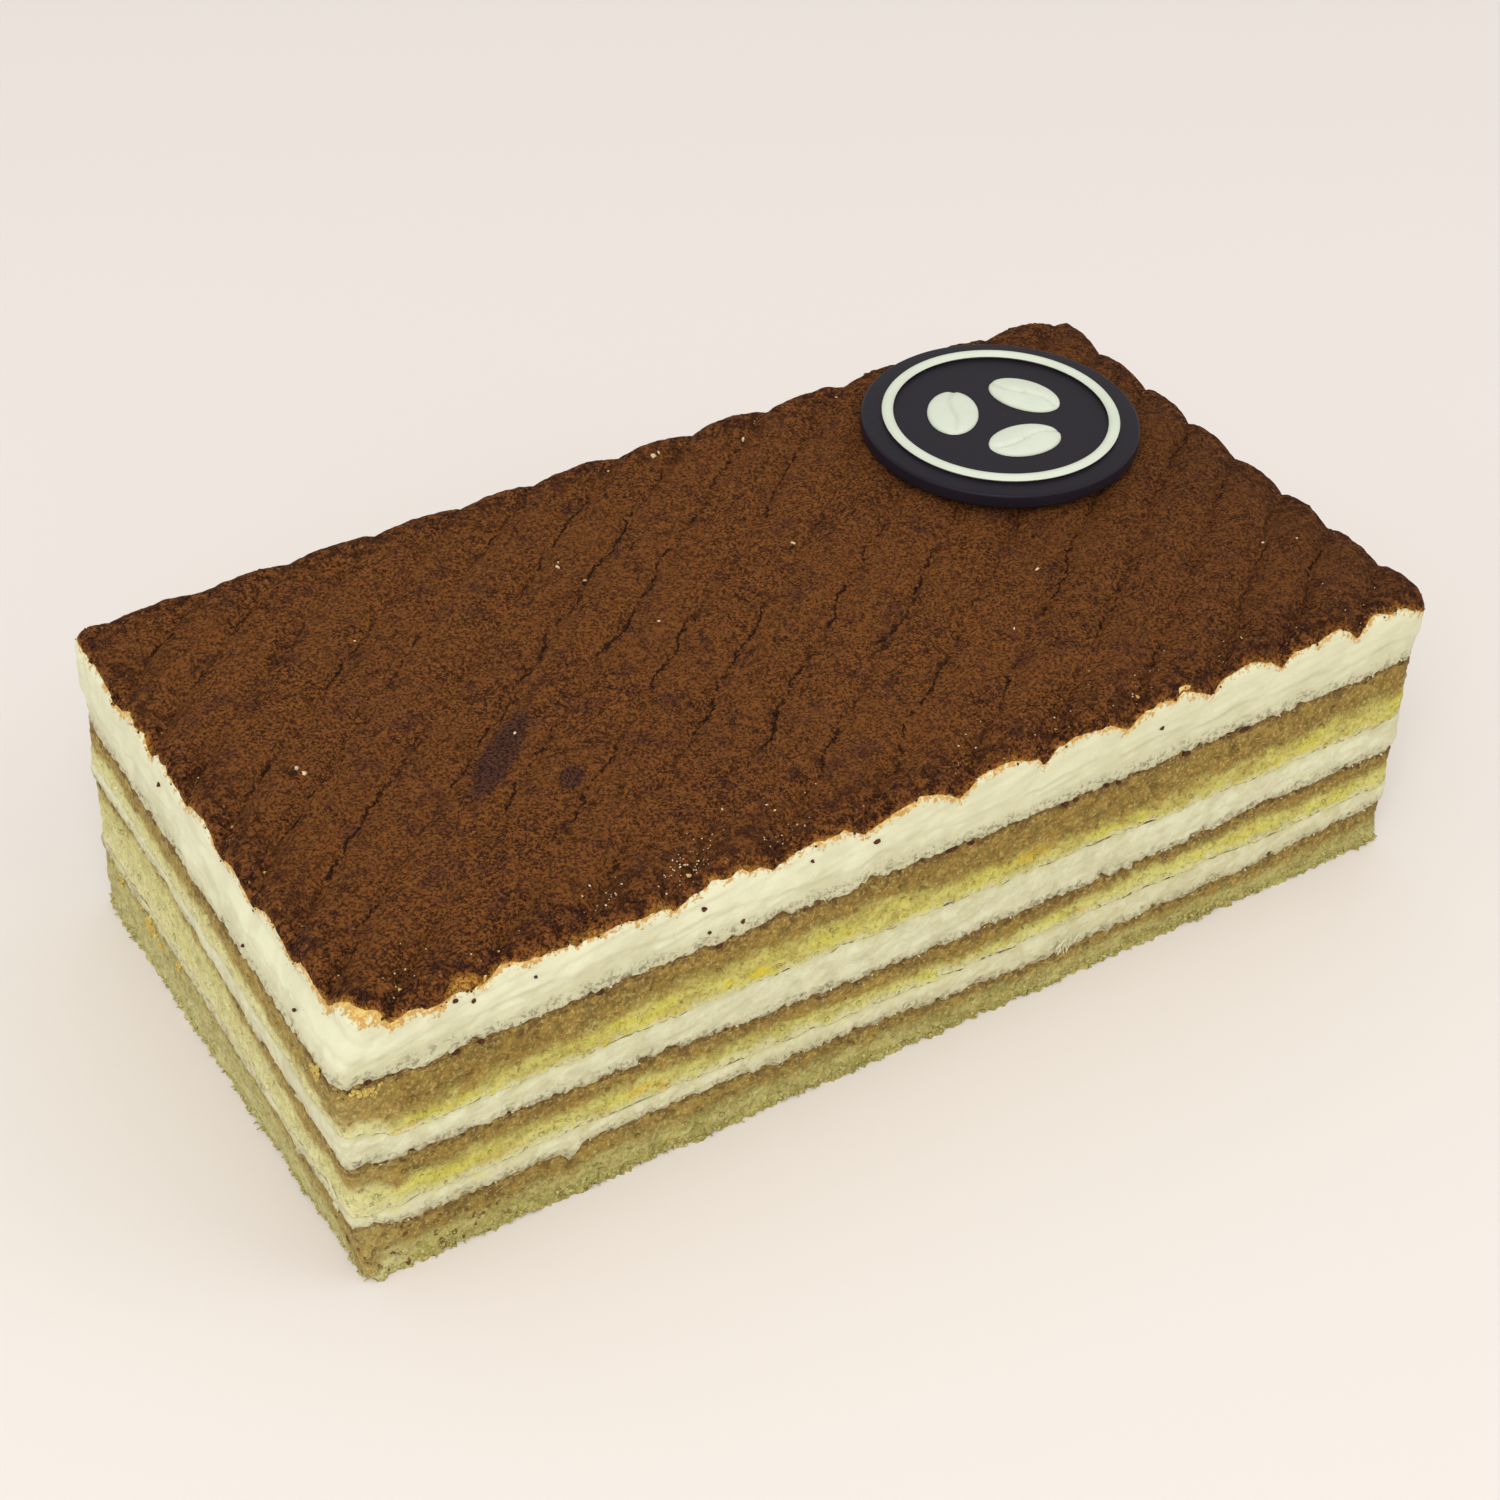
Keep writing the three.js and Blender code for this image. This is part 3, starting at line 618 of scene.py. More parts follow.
def reach(x, y):
    """How far the cocoa's rim hangs down the side beyond the shoulder, in millimetres."""
    out = 0.6 * rough(5.0, 20.0, x, y) + 0.6 * rough(2.2, 21.0, x, y) + 0.5 * rough(1.1, 22.0, x, y)
    crest = crown(ridge_at(x, y)[1])
    # on the left half of the front it hangs lowest under the crests, which evens its scallops
    out += 1.1 * crest * fade(-70.0, -35.0, x) * fade(-58.0, -50.0, y)
    # at the near corner the cream is bare, with a small tongue of cocoa just to its right
    front = fade(-60.8, -58.0, y)
    out -= 4.5 * fade(3.0, 11.0, from_near_corner(x, y))
    out += front * (0.9 * math.exp(-((x + 116.2) / 1.3) ** 2) + 1.9 * math.exp(-((x + 107.5) / 3.4) ** 2)
                    - 1.5 * math.exp(-((x + 93.5) / 3.5) ** 2))
    # further to the right the cocoa comes down to a point in each valley
    out += front * smooth(-66.0, -48.0, x) * (1.25 * (1.0 - crest) ** 2 - 0.3)
    return out + along_sides(x, y, (-0.7, -0.9, -0.7, -0.5, -0.4, -0.4, -0.4, -0.4),
                             (0.9, 0.7, -0.3, -1.2, -1.3), -0.4)


def round_plan(sheet):
    """Rounds the corners of a square grid as those of the cake's plan."""
    for v in sheet.verts:
        dx, dy = past_corners(v.co.x, v.co.y)
        if dx > 0 and dy > 0:
            pull = max(dx, dy) / math.hypot(dx, dy)
            v.co.x = math.copysign(LENGTH / 2 - CORNER + dx * pull, v.co.x)
            v.co.y = math.copysign(DEPTH / 2 - CORNER + dy * pull, v.co.y)


def top_cream_bulge(x, y, z, share):
    """The smoothed side of the top cream, share from 0 at its foot to 1 at its shoulder."""
    out = 0.5 * (math.sin(math.pi * min(share, 0.5)) - 1.0) - 0.35
    # the spatula has left a soft ledge, above which each ridge's end swells out
    ledge = 0.46 + 0.12 * rough(26.0, 8.0, x, y) + 0.04 * rough(5.0, 9.0, x, y)
    crest = crown(ridge_at(x + (62.0 - z) * 0.7 * (abs(y) > DEPTH / 2 - 1), y)[1])
    out += smooth(ledge - 0.05, ledge + 0.1, share) * (0.35 + 0.35 * crest * fade(0.85, 1.1, share))
    drag = noise.noise(Vector((x * 0.09, y * 0.09, z * 0.8 - x * 0.14)))
    out += 0.24 * drag + 0.3 * rough(11.0, 9.0, x, y, z) + 0.14 * rough(3.5, 10.0, x, y, z)
    ragged = fade(0.0, 0.3, share)
    out += 0.34 * (0.12 + ragged) * (rough(1.5, 11.0, x, y, z) + 0.5 * rough(0.8, 12.0, x, y, z))
    return out - 0.5 * ragged * smooth(0.2, 0.5, rough(2.2, 13.0, x, y, z))


cream = bmesh.new()
half_x, half_y = LENGTH / 2 - SHOULDER_WIDTH, DEPTH / 2 - SHOULDER_WIDTH
bmesh.ops.create_grid(cream, x_segments=round(2 * half_x / COARSE), y_segments=round(2 * half_y / COARSE),
                      size=1.0)
bmesh.ops.scale(cream, vec=(half_x, half_y, 1.0), verts=cream.verts)
round_plan(cream)
bmesh.ops.subdivide_edges(cream, edges=[e for e in cream.edges if e.is_boundary], cuts=3)
rise, under_rim = cream.verts.layers.float.new("rise"), cream.verts.layers.float.new("under_rim")
home = cream.verts.layers.float_vector.new("home")
ring = [e for e in cream.edges if e.is_boundary]
for v in cream.verts:
    v[rise], v[under_rim] = TOP_SHARE, -8.0
    v.co.z = top_height(v.co.x, v.co.y) - CREAM_UNDER - 0.35
for v in {v for e in ring for v in e.verts}:  # each one's place on the outline
    v[home] = (*outline_point(v.co.x, v.co.y, -SHOULDER_WIDTH), 0.0)
for row in range(1, SHOULDER_ROWS + SIDE_ROWS + 1):
    made = bmesh.ops.extrude_edge_only(cream, edges=ring)["geom"]
    ring = [g for g in made if isinstance(g, bmesh.types.BMEdge) and g.is_boundary]
    along = SHOULDER_LONG * min(row / SHOULDER_ROWS, 1.0)
    inset, fall = shoulder(along)
    share = 1.0 - (row - SHOULDER_ROWS) / SIDE_ROWS
    if row <= SHOULDER_ROWS:
        share = TOP_SHARE - (TOP_SHARE - 1.0) * row / SHOULDER_ROWS
    settled = smooth(TOP_SHARE, 1.0, share)
    for v in (g for g in made if isinstance(g, bmesh.types.BMVert)):
        ox, oy, _ = v[home]
        px, py = outline_point(ox, oy, inset)
        foot = seam_height("top cream foot", ox, oy) + JOIN + torn("top cream foot", ox, oy)
        rim_height = top_height(px, py) - CREAM_UNDER - fall
        z = foot + (rim_height - foot) * min(share, 1.0)
        out = (top_cream_bulge(ox, oy, z, share) + corner_edge(ox, oy)) * settled
        v.co = (*outline_point(px, py, -out), z)
        v[rise] = share
        v[under_rim] = (along - SHOULDER_LONG - reach(ox, oy) + max(rim_height - z, 0.0)
                        - fade(7.0, 15.0, from_near_corner(ox, oy)))
bmesh.ops.edgeloop_fill(cream, edges=ring)
cream.verts.layers.float_vector.remove(home)
for v in cream.verts:
    v.co = cut_ends(*v.co)


def top_cream_finish():
    """Ivory cream with soft spatula strokes, painted light and shade on its side, painted shade in its pitted
    foot, and cocoa dust at its rim.
    """
    f = Finish("ridged cream")
    rise = f.attribute("rise")
    drag = f.grain(2.8, 4.0, at=f.stretched(0.45, 0.45, 1.0, lean=0.3), roughness=0.6, distortion=0.8)
    soft = f.grain(8.0, 3.0, 0.6)
    fine = f.grain(1.0, 4.0, 0.7)
    foot = rise.frayed(soft, 0.45).until(0.05, 0.32)
    shaded_pits = fine.from_to(0.53, 0.64) * (0.06 + foot)
    # painted light and shade: lighter above the spatula's ledge, and duller towards the right
    lit = rise.frayed(drag, 0.6, soft, 0.5).from_to(0.3, 0.52) * 0.55 + soft.from_to(0.4, 0.58) * 0.4
    lit = lit - f.along().from_to(-0.04, 0.03) * 0.34 * lit  # duller towards the right
    tone = f.blend(lit, srgb(206, 202, 164), srgb(227, 225, 191))
    speck = f.cells(3.2).from_to(0.14, 0.05) * f.grain(13.0).from_to(0.5, 0.64)
    tone = tone.overlaid((speck * 0.6, 206, 206, 112), (foot * soft.from_to(0.4, 0.6) * 0.5, 192, 181, 138),
                     ((rise * 14.0).frayed(fine, 4.0, soft, 2.0).until(-0.7, 0.2) * 0.56, 146, 112, 68),
                     # painted shade in the hollows of the foot
                     (shaded_pits * 0.6, 156, 134, 94))
    wisps = f.grain(1.0, 4.0, 0.75)
    dust = f.attribute("under_rim").frayed(wisps, 9.0, soft, 4.0).until(0.1, 1.0)
    tan = f.blend(wisps.from_to(0.42, 0.58), srgb(192, 134, 40), srgb(228, 188, 82))
    tone = f.blend(dust * 0.85, tone, tan)
    height = drag * 0.28 + soft * 0.4 + fine * (foot * 0.5 + 0.22) - shaded_pits * 0.5
    return f.coat(tone, 0.5, f.relief(height, 0.6), shine=0.35, milky=0.12)


finish_piece(cream, "ridged_cream", top_cream_finish(), "cream_top", slot="cream")

# --------------------
# Cocoa dusting: a dry, dead-matt layer of sieved cocoa that follows the ridges.
# It cracks along the valleys, clumps at the edges, and thins to tan dust and
# ragged tongues where it meets the cream of the sides.
# --------------------

GRAIN = 1.3  # length of one face before they are halved
DUST_DEPTH = 0.4
cocoa = bmesh.new()
bmesh.ops.create_grid(cocoa, x_segments=round(LENGTH / GRAIN), y_segments=round(DEPTH / GRAIN), size=1.0)
bmesh.ops.scale(cocoa, vec=(LENGTH / 2, DEPTH / 2, 1.0), verts=cocoa.verts)
made = bmesh.ops.extrude_face_region(cocoa, geom=cocoa.faces[:])["geom"]
upper = [g for g in made if isinstance(g, bmesh.types.BMVert)]
bmesh.ops.translate(cocoa, vec=(0, 0, 1), verts=upper)
bmesh.ops.subdivide_edges(cocoa, edges=[e for e in cocoa.edges if min(v.co.z for v in e.verts) > 0.5],
                          cuts=1, use_grid_fill=True)
round_plan(cocoa)
ridges, rim = cocoa.verts.layers.float.new("ridges"), cocoa.verts.layers.float.new("rim")


def clumps(x, y, near_edge):
    """The uneven height of the sieved cocoa."""
    out = 0.16 * rough(7.0, 23.0, x, y) + 0.14 * rough(2.8, 24.0, x, y) + 0.13 * rough(1.4, 25.0, x, y)
    return out * (1.0 + near_edge)


def hugging(x, y, z, fall):
    """How far the cocoa stands out with the cream's side, once it is past the shoulder."""
    return top_cream_bulge(x, y, z, 1.0) * smooth(0.0, SHOULDER * 0.58, fall)


for v in cocoa.verts:
    top = v.co.z > 0.5
    x, y = v.co.x, v.co.y
    inside = depth_inside(x, y)
    n, share = ridge_at(x, y)
    v[ridges], v[rim] = -n + share, inside
    fall, thin = 0.0, 1.0
    if inside < SHOULDER_WIDTH:
        ox, oy = outline_point(x, y, -inside)
        whole = max(SHOULDER_LONG + reach(ox, oy), 0.5)
        along = whole * (1.0 - inside / SHOULDER_WIDTH)
        inset, fall = shoulder(along)
        thin = smooth(0.0, 1.4, whole - along)
        x, y = outline_point(ox, oy, inset)
        v[rim] = whole - along
    # cocoa worn thin at the near corner and on the left of the front
    v[rim] -= 0.6 * fade(7.0, 15.0, from_near_corner(x, y))
    v[rim] -= (2.0 * smooth(0.0, 0.5, rough(7.0, 26.0, x, y)) * fade(-90.0, -20.0, x)
               * fade(-57.0, -40.0, y))
    lift = 0.03
    if top:
        lift = DUST_DEPTH * thin + 0.05 + clumps(x, y, fade(2.0, 16.0, inside)) * thin
    z = top_height(x, y) - CREAM_UNDER - fall + lift
    if fall > SHOULDER * 0.25:
        nx, ny = outward(v.co.x, v.co.y)
        out = hugging(v.co.x, v.co.y, z, fall) + lift * 0.7
        out += corner_edge(v.co.x, v.co.y) * smooth(0.0, SHOULDER * 0.58, fall)
        x, y = x + nx * out, y + ny * out
    v.co = cut_ends(x, y, z)


def cocoa_finish():
    """Sieved cocoa: brown grains with painted shade between them, cracked valleys in painted shade, and a tan
    rim.
    """
    f = Finish("cocoa powder")
    ridges, rim = f.attribute("ridges"), f.attribute("rim")
    grain = f.grain(0.62, 4.0, 0.75, distortion=0.1)
    lump = f.grain(2.2, 4.0, 0.68)
    mottle = f.grain(9.0, 3.0, 0.6)
    crumbly = mottle.from_to(0.44, 0.6)  # where the powder has drawn together
    crease = (f.grain(1.6, 3.0, 0.7, distortion=0.3) - 0.5).sum("ABSOLUTE")
    shaded_creases = crease.from_to(0.045, 0.006) * (0.25 + crumbly * 0.75) * lump.from_to(0.46, 0.58)
    shaded_gaps = grain.from_to(0.52, 0.66)
    band = rim.frayed(mottle, 22.0).until(1.0, 13.0)
    tone = f.blend(grain.from_to(0.58, 0.4), srgb(106, 61, 29), srgb(138, 84, 41))
    gold = f.grain(1.3, 3.0, 0.7, at=f.stretched(1.0, 1.0, 1.0, lean=0.7))
    glints = f.cells(1.5).from_to(0.2, 0.08) * f.grain(6.0).from_to(0.5, 0.62) * (0.35 + band * 0.4)
    tone = tone.overlaid((gold.from_to(0.54, 0.64) * 0.5, 138, 90, 34),
                     (gold.from_to(0.44, 0.36) * 0.4, 98, 50, 34),
                     (f.grain(34.0).from_to(0.42, 0.6) * 0.5, 126, 76, 36),
                     # painted shade in the low hollows between grains and in the folds
                     (shaded_gaps * (0.35 + crumbly * 0.4), 58, 29, 20), (shaded_creases * 0.85, 48, 24, 19),
                     (f.grain(5.5, 4.0, 0.65).from_to(0.55, 0.65) * 0.42, 68, 36, 38),
                     # painted shade: darker towards the right end
                     (f.along().from_to(0.02, 0.13) * 0.28, 66, 38, 26),
                     (band * lump.from_to(0.42, 0.58) * 0.65, 52, 26, 20), (glints, 176, 124, 84))
    # two spots where the cocoa was rubbed along the ridges: middle, length and width
    rubbed = 0.0
    for x, y, long, wide in ((-66.5, -14.0, 31.0, 6.8), (-57.9, -25.7, 8.0, 4.6)):
        smear = f.node("ShaderNodeMapping", {"vector_type": "TEXTURE"}, {
            "Vector": f.place, "Location": (x * 0.001, y * 0.001, 0.069),
            "Rotation": (0.0, 0.0, RIDGE_ANGLE + 0.06), "Scale": (long * 0.0005, wide * 0.0005, 0.02)})
        away = f.node("ShaderNodeVectorMath", {"operation": "LENGTH"}, {0: smear}, out="Value")
        rubbed = away.frayed(lump, 0.9, mottle, 0.6).until(0.7, 1.05) + rubbed
    tone = f.blend(rubbed * 0.8, tone, f.blend(grain.from_to(0.4, 0.6), srgb(84, 54, 46), srgb(54, 32, 30)))
    # cracks along the valleys and dark hollows where these run out, both painted shade, and pale grains there
    wandering = ridges.frayed(f.grain(9.0), 0.5, f.grain(1.7, 3.0, 0.7), 0.2)
    valley = (wandering.sum("FRACT") - 0.5).sum("ABSOLUTE")
    broken = f.grain(3.2, 4.0, 0.75).from_to(0.46, 0.52) * f.grain(34.0, 1.0).from_to(0.4, 0.54)
    shaded_crack = valley.from_to(0.47, 0.489) * broken * rim.frayed(mottle, 20.0).from_to(4.0, 14.0)
    valley_end = valley.from_to(0.2, 0.44) * rim.frayed(mottle, 12.0).until(3.0, 9.0)
    pale = f.cells(0.9).from_to(0.24, 0.12) * f.grain(2.0).from_to(0.5, 0.6)
    shaded_pits = f.cells(1.2).from_to(0.4, 0.22) * valley_end
    tone = tone.overlaid((shaded_crack * 0.9, 38, 20, 15), (shaded_pits * 0.8, 40, 19, 17), (pale * valley_end, 206, 156, 112))
    # tan wisps at the rim, and the cream's colour where the cocoa is worn through
    wisps = f.grain(1.0, 4.0, 0.75)
    near = rim.frayed(wisps, 10.0, mottle, 3.0).until(-0.3, 0.6)
    tone = f.blend(near * 0.9, tone, f.blend(wisps.from_to(0.4, 0.58), srgb(158, 94, 34), srgb(226, 170, 78)))
    bare = rim.frayed(wisps, 7.0).until(-2.9, -1.7)
    tone = f.blend(bare, tone, f.blend(wisps.from_to(0.42, 0.6), srgb(222, 184, 118), srgb(232, 222, 184)))
    height = lump * 0.5 + (1.0 - shaded_gaps) * 0.3 + (1.0 - grain) * 0.35 - shaded_creases * 0.5 - shaded_crack * 0.8
    return f.coat(tone, 1.0, f.relief(height * (1.0 - bare * 0.8), 1.7), shine=0.08)


finish_piece(cocoa, "cocoa_dusting", cocoa_finish(), "cocoa", slot="cocoa")

# --------------------
# Loose bits: crumbs and fibres of sponge at the sides, tufts of cream torn out
# along the seams, crumbs of cocoa on the cream, pale specks in the cocoa, and
# dark discs of painted shade in two of its holes. Each rests where the knife or the sieve left it.
# --------------------

chance = random.Random(7)
LEFT, FRONT = -LENGTH / 2, -DEPTH / 2
BOTTOM_TALL, TOP_CREAM_LOW, TOP_CREAM_TALL = 13.0, 50.0, 13.0
OUTLINE_LONG = 2 * (LENGTH + DEPTH - 4 * CORNER) + math.tau * CORNER


def outline_walk(distance):
    """Walks round the outline from the near corner: front, right end, back, left side."""
    x, y, heading = -(LENGTH / 2 - CORNER), -DEPTH / 2, 0.0
    for straight in (LENGTH - 2 * CORNER, DEPTH - 2 * CORNER) * 2:
        step = min(distance, straight)
        x, y = x + step * math.cos(heading), y + step * math.sin(heading)
        distance -= step
        if distance <= 0:
            return x, y
        turn = min(distance / CORNER, math.pi / 2)
        cx, cy = x - CORNER * math.sin(heading), y + CORNER * math.cos(heading)
        x, y = cx + CORNER * math.sin(heading + turn), cy - CORNER * math.cos(heading + turn)
        heading += turn
        distance -= turn * CORNER
        if distance <= 0:
            return x, y
    return x, y


def anywhere():
    """A chance point of the outline."""
    return outline_walk(chance.uniform(0, OUTLINE_LONG))


def fibre(shape, place, turn, size, faces=2):
    """Adds one smooth bit of the given half widths, in millimetres, turned by a matrix."""
    grown = Matrix.Translation(place) @ turn @ Matrix.Diagonal((*size, 1.0))
    return bmesh.ops.create_icosphere(shape, subdivisions=faces, radius=1.0, matrix=grown)["verts"]


def bit(shape, place, size, faces=1, uneven=0.35):
    """Adds one crumb of the given half widths, in millimetres, turned by chance."""
    turn, axis = chance.uniform(0, math.tau), Vector([chance.gauss(0, 1) for _ in range(3)])
    for v in fibre(shape, place, Matrix.Rotation(turn, 4, axis.normalized()), size, faces):
        v.co += (v.co - Vector(place)) * uneven * noise.noise(v.co * (1.3 / max(size)))


def on_side(x, y, z, out):
    return cut_ends(*outline_point(x, y, -out - corner_edge(x, y)), z)


def finish_bits(shape, name, finish, dark, light, slot):
    f = Finish(finish)
    grain = f.grain(0.5, 3.0, 0.6)
    tone = f.blend(grain.from_to(0.35, 0.65), srgb(*dark), srgb(*light))
    finish_piece(shape, name, f.coat(tone, 0.85, f.relief(grain, 0.2), shine=0.2), slot=slot)


foot_crumbs = bmesh.new()
for number in range(760):
    x, y = anywhere()
    wide = chance.triangular(0.22, 0.75, 0.35)
    z = chance.triangular(0.1, 3.2, 0.3) + wide * 0.9
    out = bottom_side(x, y, z, z / BOTTOM_TALL) + chance.uniform(-0.15, 0.3)
    size = (wide, wide * chance.uniform(0.5, 0.9), wide * chance.uniform(0.5, 0.9))
    bit(foot_crumbs, on_side(x, y, z, out), size)
for number in range(1200):  # fibres that stand out of the cut foot
    x, y = anywhere()
    long = chance.triangular(0.25, 0.95, 0.45)
    points = Vector([chance.gauss(0, 0.5), chance.gauss(0, 0.5), chance.uniform(0.0, 0.6)])
    points = (Vector((*outward(x, y), 0.0)) + points).normalized()
    z = max(chance.triangular(0.2, 3.0, 0.3), long * points.z + 0.16)
    fibre(foot_crumbs, on_side(x, y, z, bottom_side(x, y, z, z / BOTTOM_TALL) + 0.35 * long),
          points.to_track_quat("Z", "Y").to_matrix().to_4x4(), (0.18, 0.18, long), faces=1)
finish_bits(foot_crumbs, "foot_crumbs", "foot crumb", (160, 148, 84), (198, 188, 122), "plain_sponge")

# crumbs of egg-yellow sponge that stick to the near corner and the left side
yellow_crumbs = bmesh.new()
for x, y, z, wide in ((LEFT, -51.9, 49.6, 0.9), (LEFT, -52.6, 48.4, 0.8), (LEFT, -51.2, 48.8, 0.6),
                      (LEFT, -53.4, 50.2, 0.5), (-118.5, FRONT, 48.4, 0.9), (-119.6, FRONT, 48.9, 0.7),
                      (-117.2, FRONT, 48.0, 0.6), (-116.0, FRONT, 48.9, 0.45), (-120.8, -60.8, 49.4, 0.5),
                      (LEFT, 18.6, 15.2, 0.8), (LEFT, 19.4, 13.8, 0.7), (LEFT, 20.2, 12.6, 0.5),
                      (LEFT, 38.0, 15.4, 0.7), (LEFT, 47.0, 15.6, 0.9), (LEFT, 48.3, 14.0, 0.7),
                      (LEFT, 49.2, 12.4, 0.6)):
    for piece in range(4):
        at = on_side(x + chance.gauss(0, 0.4) * (y < -60.0), y + chance.gauss(0, 0.4) * (y > -60.0),
                     z + chance.gauss(0, 0.4), -0.5)
        bit(yellow_crumbs, at, (wide * 0.75, wide * 0.55, wide * 0.65), faces=2, uneven=0.8)
for number in range(22):  # a patch of them lower on the left side
    y, z = chance.gauss(34.0, 1.6), chance.triangular(9.5, 15.5, 14.0)
    bit(yellow_crumbs, on_side(LEFT, y, z, -0.6), (0.7, 0.6, 0.6), faces=2, uneven=0.8)
finish_bits(yellow_crumbs, "yellow_crumbs", "yellow crumb", (178, 148, 72), (218, 194, 110), "soaked_sponge")

tufts = bmesh.new()
for seam, side, count in (("lower cream foot", cream_side(0.1, 0.3, 0.3), 120),
                          ("upper cream foot", cream_side(0.1, 0.35, 0.3), 100),
                          ("top cream foot", cream_side(0.5, 0.3, 0.3), 60)):
    for number in range(count):
        x, y = anywhere()
        wide = chance.triangular(0.12, 0.34, 0.2)
        z = seam_height(seam, x, y) + torn(seam, x, y) + chance.uniform(-0.3, 0.4)
        out = side(x, y, z, 0.08) + chance.uniform(-0.2, 0.1)
        bit(tufts, on_side(x, y, z, out), (wide, wide * 0.6, wide * chance.uniform(1.0, 2.6)))
for number in range(18):  # a torn-out tuft of fibres on the front
    wide, long = chance.uniform(0.11, 0.22), chance.uniform(0.7, 2.3)
    x, z = 35.6 + chance.gauss(0, 1.2), 12.8 - chance.uniform(0.0, 3.2)
    lean = Matrix.Rotation(chance.uniform(-0.5, 0.9), 4, "Y")
    fibre(tufts, (x, -61.2 - chance.uniform(0.0, 0.7), z), lean, (wide, wide, long))
for number in range(14):  # strands that hang over the left side
    long, z = chance.uniform(0.6, 1.5), chance.uniform(14.6, 19.4)
    place = on_side(LEFT, -52.7 + chance.gauss(0, 0.5) + (z - 17.0) * 0.05, z, -0.2)
    fibre(tufts, place, Matrix.Rotation(chance.gauss(0, 0.4), 4, "X"), (0.2, 0.24, long))
finish_bits(tufts, "cream_tufts", "torn cream", (200, 193, 154), (222, 217, 180), "cream")

# crumbs of cocoa on the top cream: large ones, dark lumps along its foot, and fine ones at its rim
cocoa_crumbs = bmesh.new()
for x, y, z, wide in ((-99.3, FRONT, 60.4, 0.5), (-51.3, FRONT, 60.4, 0.6), (-49.3, FRONT, 53.3, 0.45),
                      (-42.3, FRONT, 53.0, 0.55), (-13.7, FRONT, 60.2, 0.65), (-28.0, FRONT, 61.6, 0.5),
                      (53.3, FRONT, 59.9, 0.5), (-87.0, FRONT, 60.8, 0.4), (LEFT, 17.8, 61.6, 0.6),
                      (LEFT, -43.8, 56.5, 0.45), (LEFT, -22.0, 54.0, 0.4), (-103.5, FRONT, 62.4, 0.6)):
    out = top_cream_bulge(x, y, z, (z - TOP_CREAM_LOW) / TOP_CREAM_TALL) + 0.1
    bit(cocoa_crumbs, on_side(x, y, z, out), (wide, wide * 0.8, wide * 0.8), faces=2, uneven=0.5)
for x, long in ((5.0, 1.6), (9.5, 0.8), (32.0, 0.9), (34.5, 0.7), (42.0, 0.7), (45.0, 0.6), (62.0, 1.1),
                (77.0, 1.5), (-72.0, 0.9), (-47.0, 0.8), (-118.0, 0.8), (-101.0, 0.9), (-96.0, 0.6)):
    z = seam_height("top cream foot", x, FRONT) + torn("top cream foot", x, FRONT)
    fibre(cocoa_crumbs, (x, FRONT + 0.55, z - 0.25), Matrix.Rotation(-0.1, 4, "Y"), (long, 0.5, 0.42))
for number in range(260):
    x, y = anywhere()
    inset, fall = shoulder(SHOULDER_LONG + reach(x, y) + chance.triangular(-1.2, 0.9, -0.3))
    px, py = outline_point(x, y, inset)
    wide = chance.triangular(0.1, 0.4, 0.18)
    z = top_height(px, py) - CREAM_UNDER - fall
    place = cut_ends(*outline_point(px, py, -hugging(x, y, z, fall) - 0.1), z)
    bit(cocoa_crumbs, place, (wide, wide * 0.8, wide * 0.8))
finish_bits(cocoa_crumbs, "cocoa_crumbs", "cocoa crumb", (58, 30, 20), (92, 52, 28), "cocoa")

# pale specks of sponge in the cocoa, and beside two of them a dark disc that is painted shade in a hole
specks, hole_shades = bmesh.new(), bmesh.new()
for x, y, wide in ((-101.9, -0.7, 0.75), (-102.6, 1.2, 0.6), (8.0, 54.5, 0.9), (9.6, 55.2, 0.55),
                   (28.8, 52.1, 0.6), (-28.8, 30.7, 0.6), (-27.9, 32.0, 0.4), (-25.9, 24.9, 0.45),
                   (17.0, 14.7, 0.55), (55.7, -16.7, 0.5), (-61.5, -10.0, 0.4), (-20.0, 6.0, 0.35),
                   (-75.0, 30.0, 0.3), (40.0, -30.0, 0.3), (104.0, -31.0, 0.35), (110.0, -34.5, 0.3),
                   (-38.0, -46.0, 0.4), (-31.0, -50.0, 0.35), (-70.0, -52.0, 0.35)):
    bit(specks, cut_ends(x, y, top_height(x, y) + 0.12), (wide, wide * 0.6, wide * 0.45), faces=2, uneven=0.6)
for number in range(260):
    x, y = chance.uniform(-118.0, 118.0), -60.0 + chance.triangular(0.5, 13.0, 2.5)
    if number % 2:  # most lie near the left third of the front
        x = chance.gauss(-49.0, 10.0)
    if ridge_at(x, y)[1] % 0.75 < 0.3:  # they gather in the valleys
        wide = chance.triangular(0.1, 0.34, 0.16)
        z = top_height(x, y) + 0.05 - max(0.0, 3.4 - depth_inside(x, y)) * 0.45
        bit(specks, cut_ends(x, y, z), (wide, wide * 0.7, wide * 0.6))
# painted shade: flat dark discs in two holes of the cocoa
for x, y, wide in ((-103.4, 0.2, 1.0), (16.0, 13.6, 0.8)):
    bit(hole_shades, cut_ends(x, y, top_height(x, y) - 0.02), (wide, wide * 0.7, 0.22), faces=2, uneven=0.4)
finish_bits(specks, "pale_specks", "pale speck", (206, 176, 130), (236, 218, 182), "cream")
finish_bits(hole_shades, "hole_shadows", "hole shadow", (30, 16, 12), (52, 28, 20), "cocoa")

# --------------------
# Chocolate plaque: a moulded disc of dark chocolate laid on the ridges. Its
# edge is rounded by the mould, and its face has a faint even sheen.
# --------------------

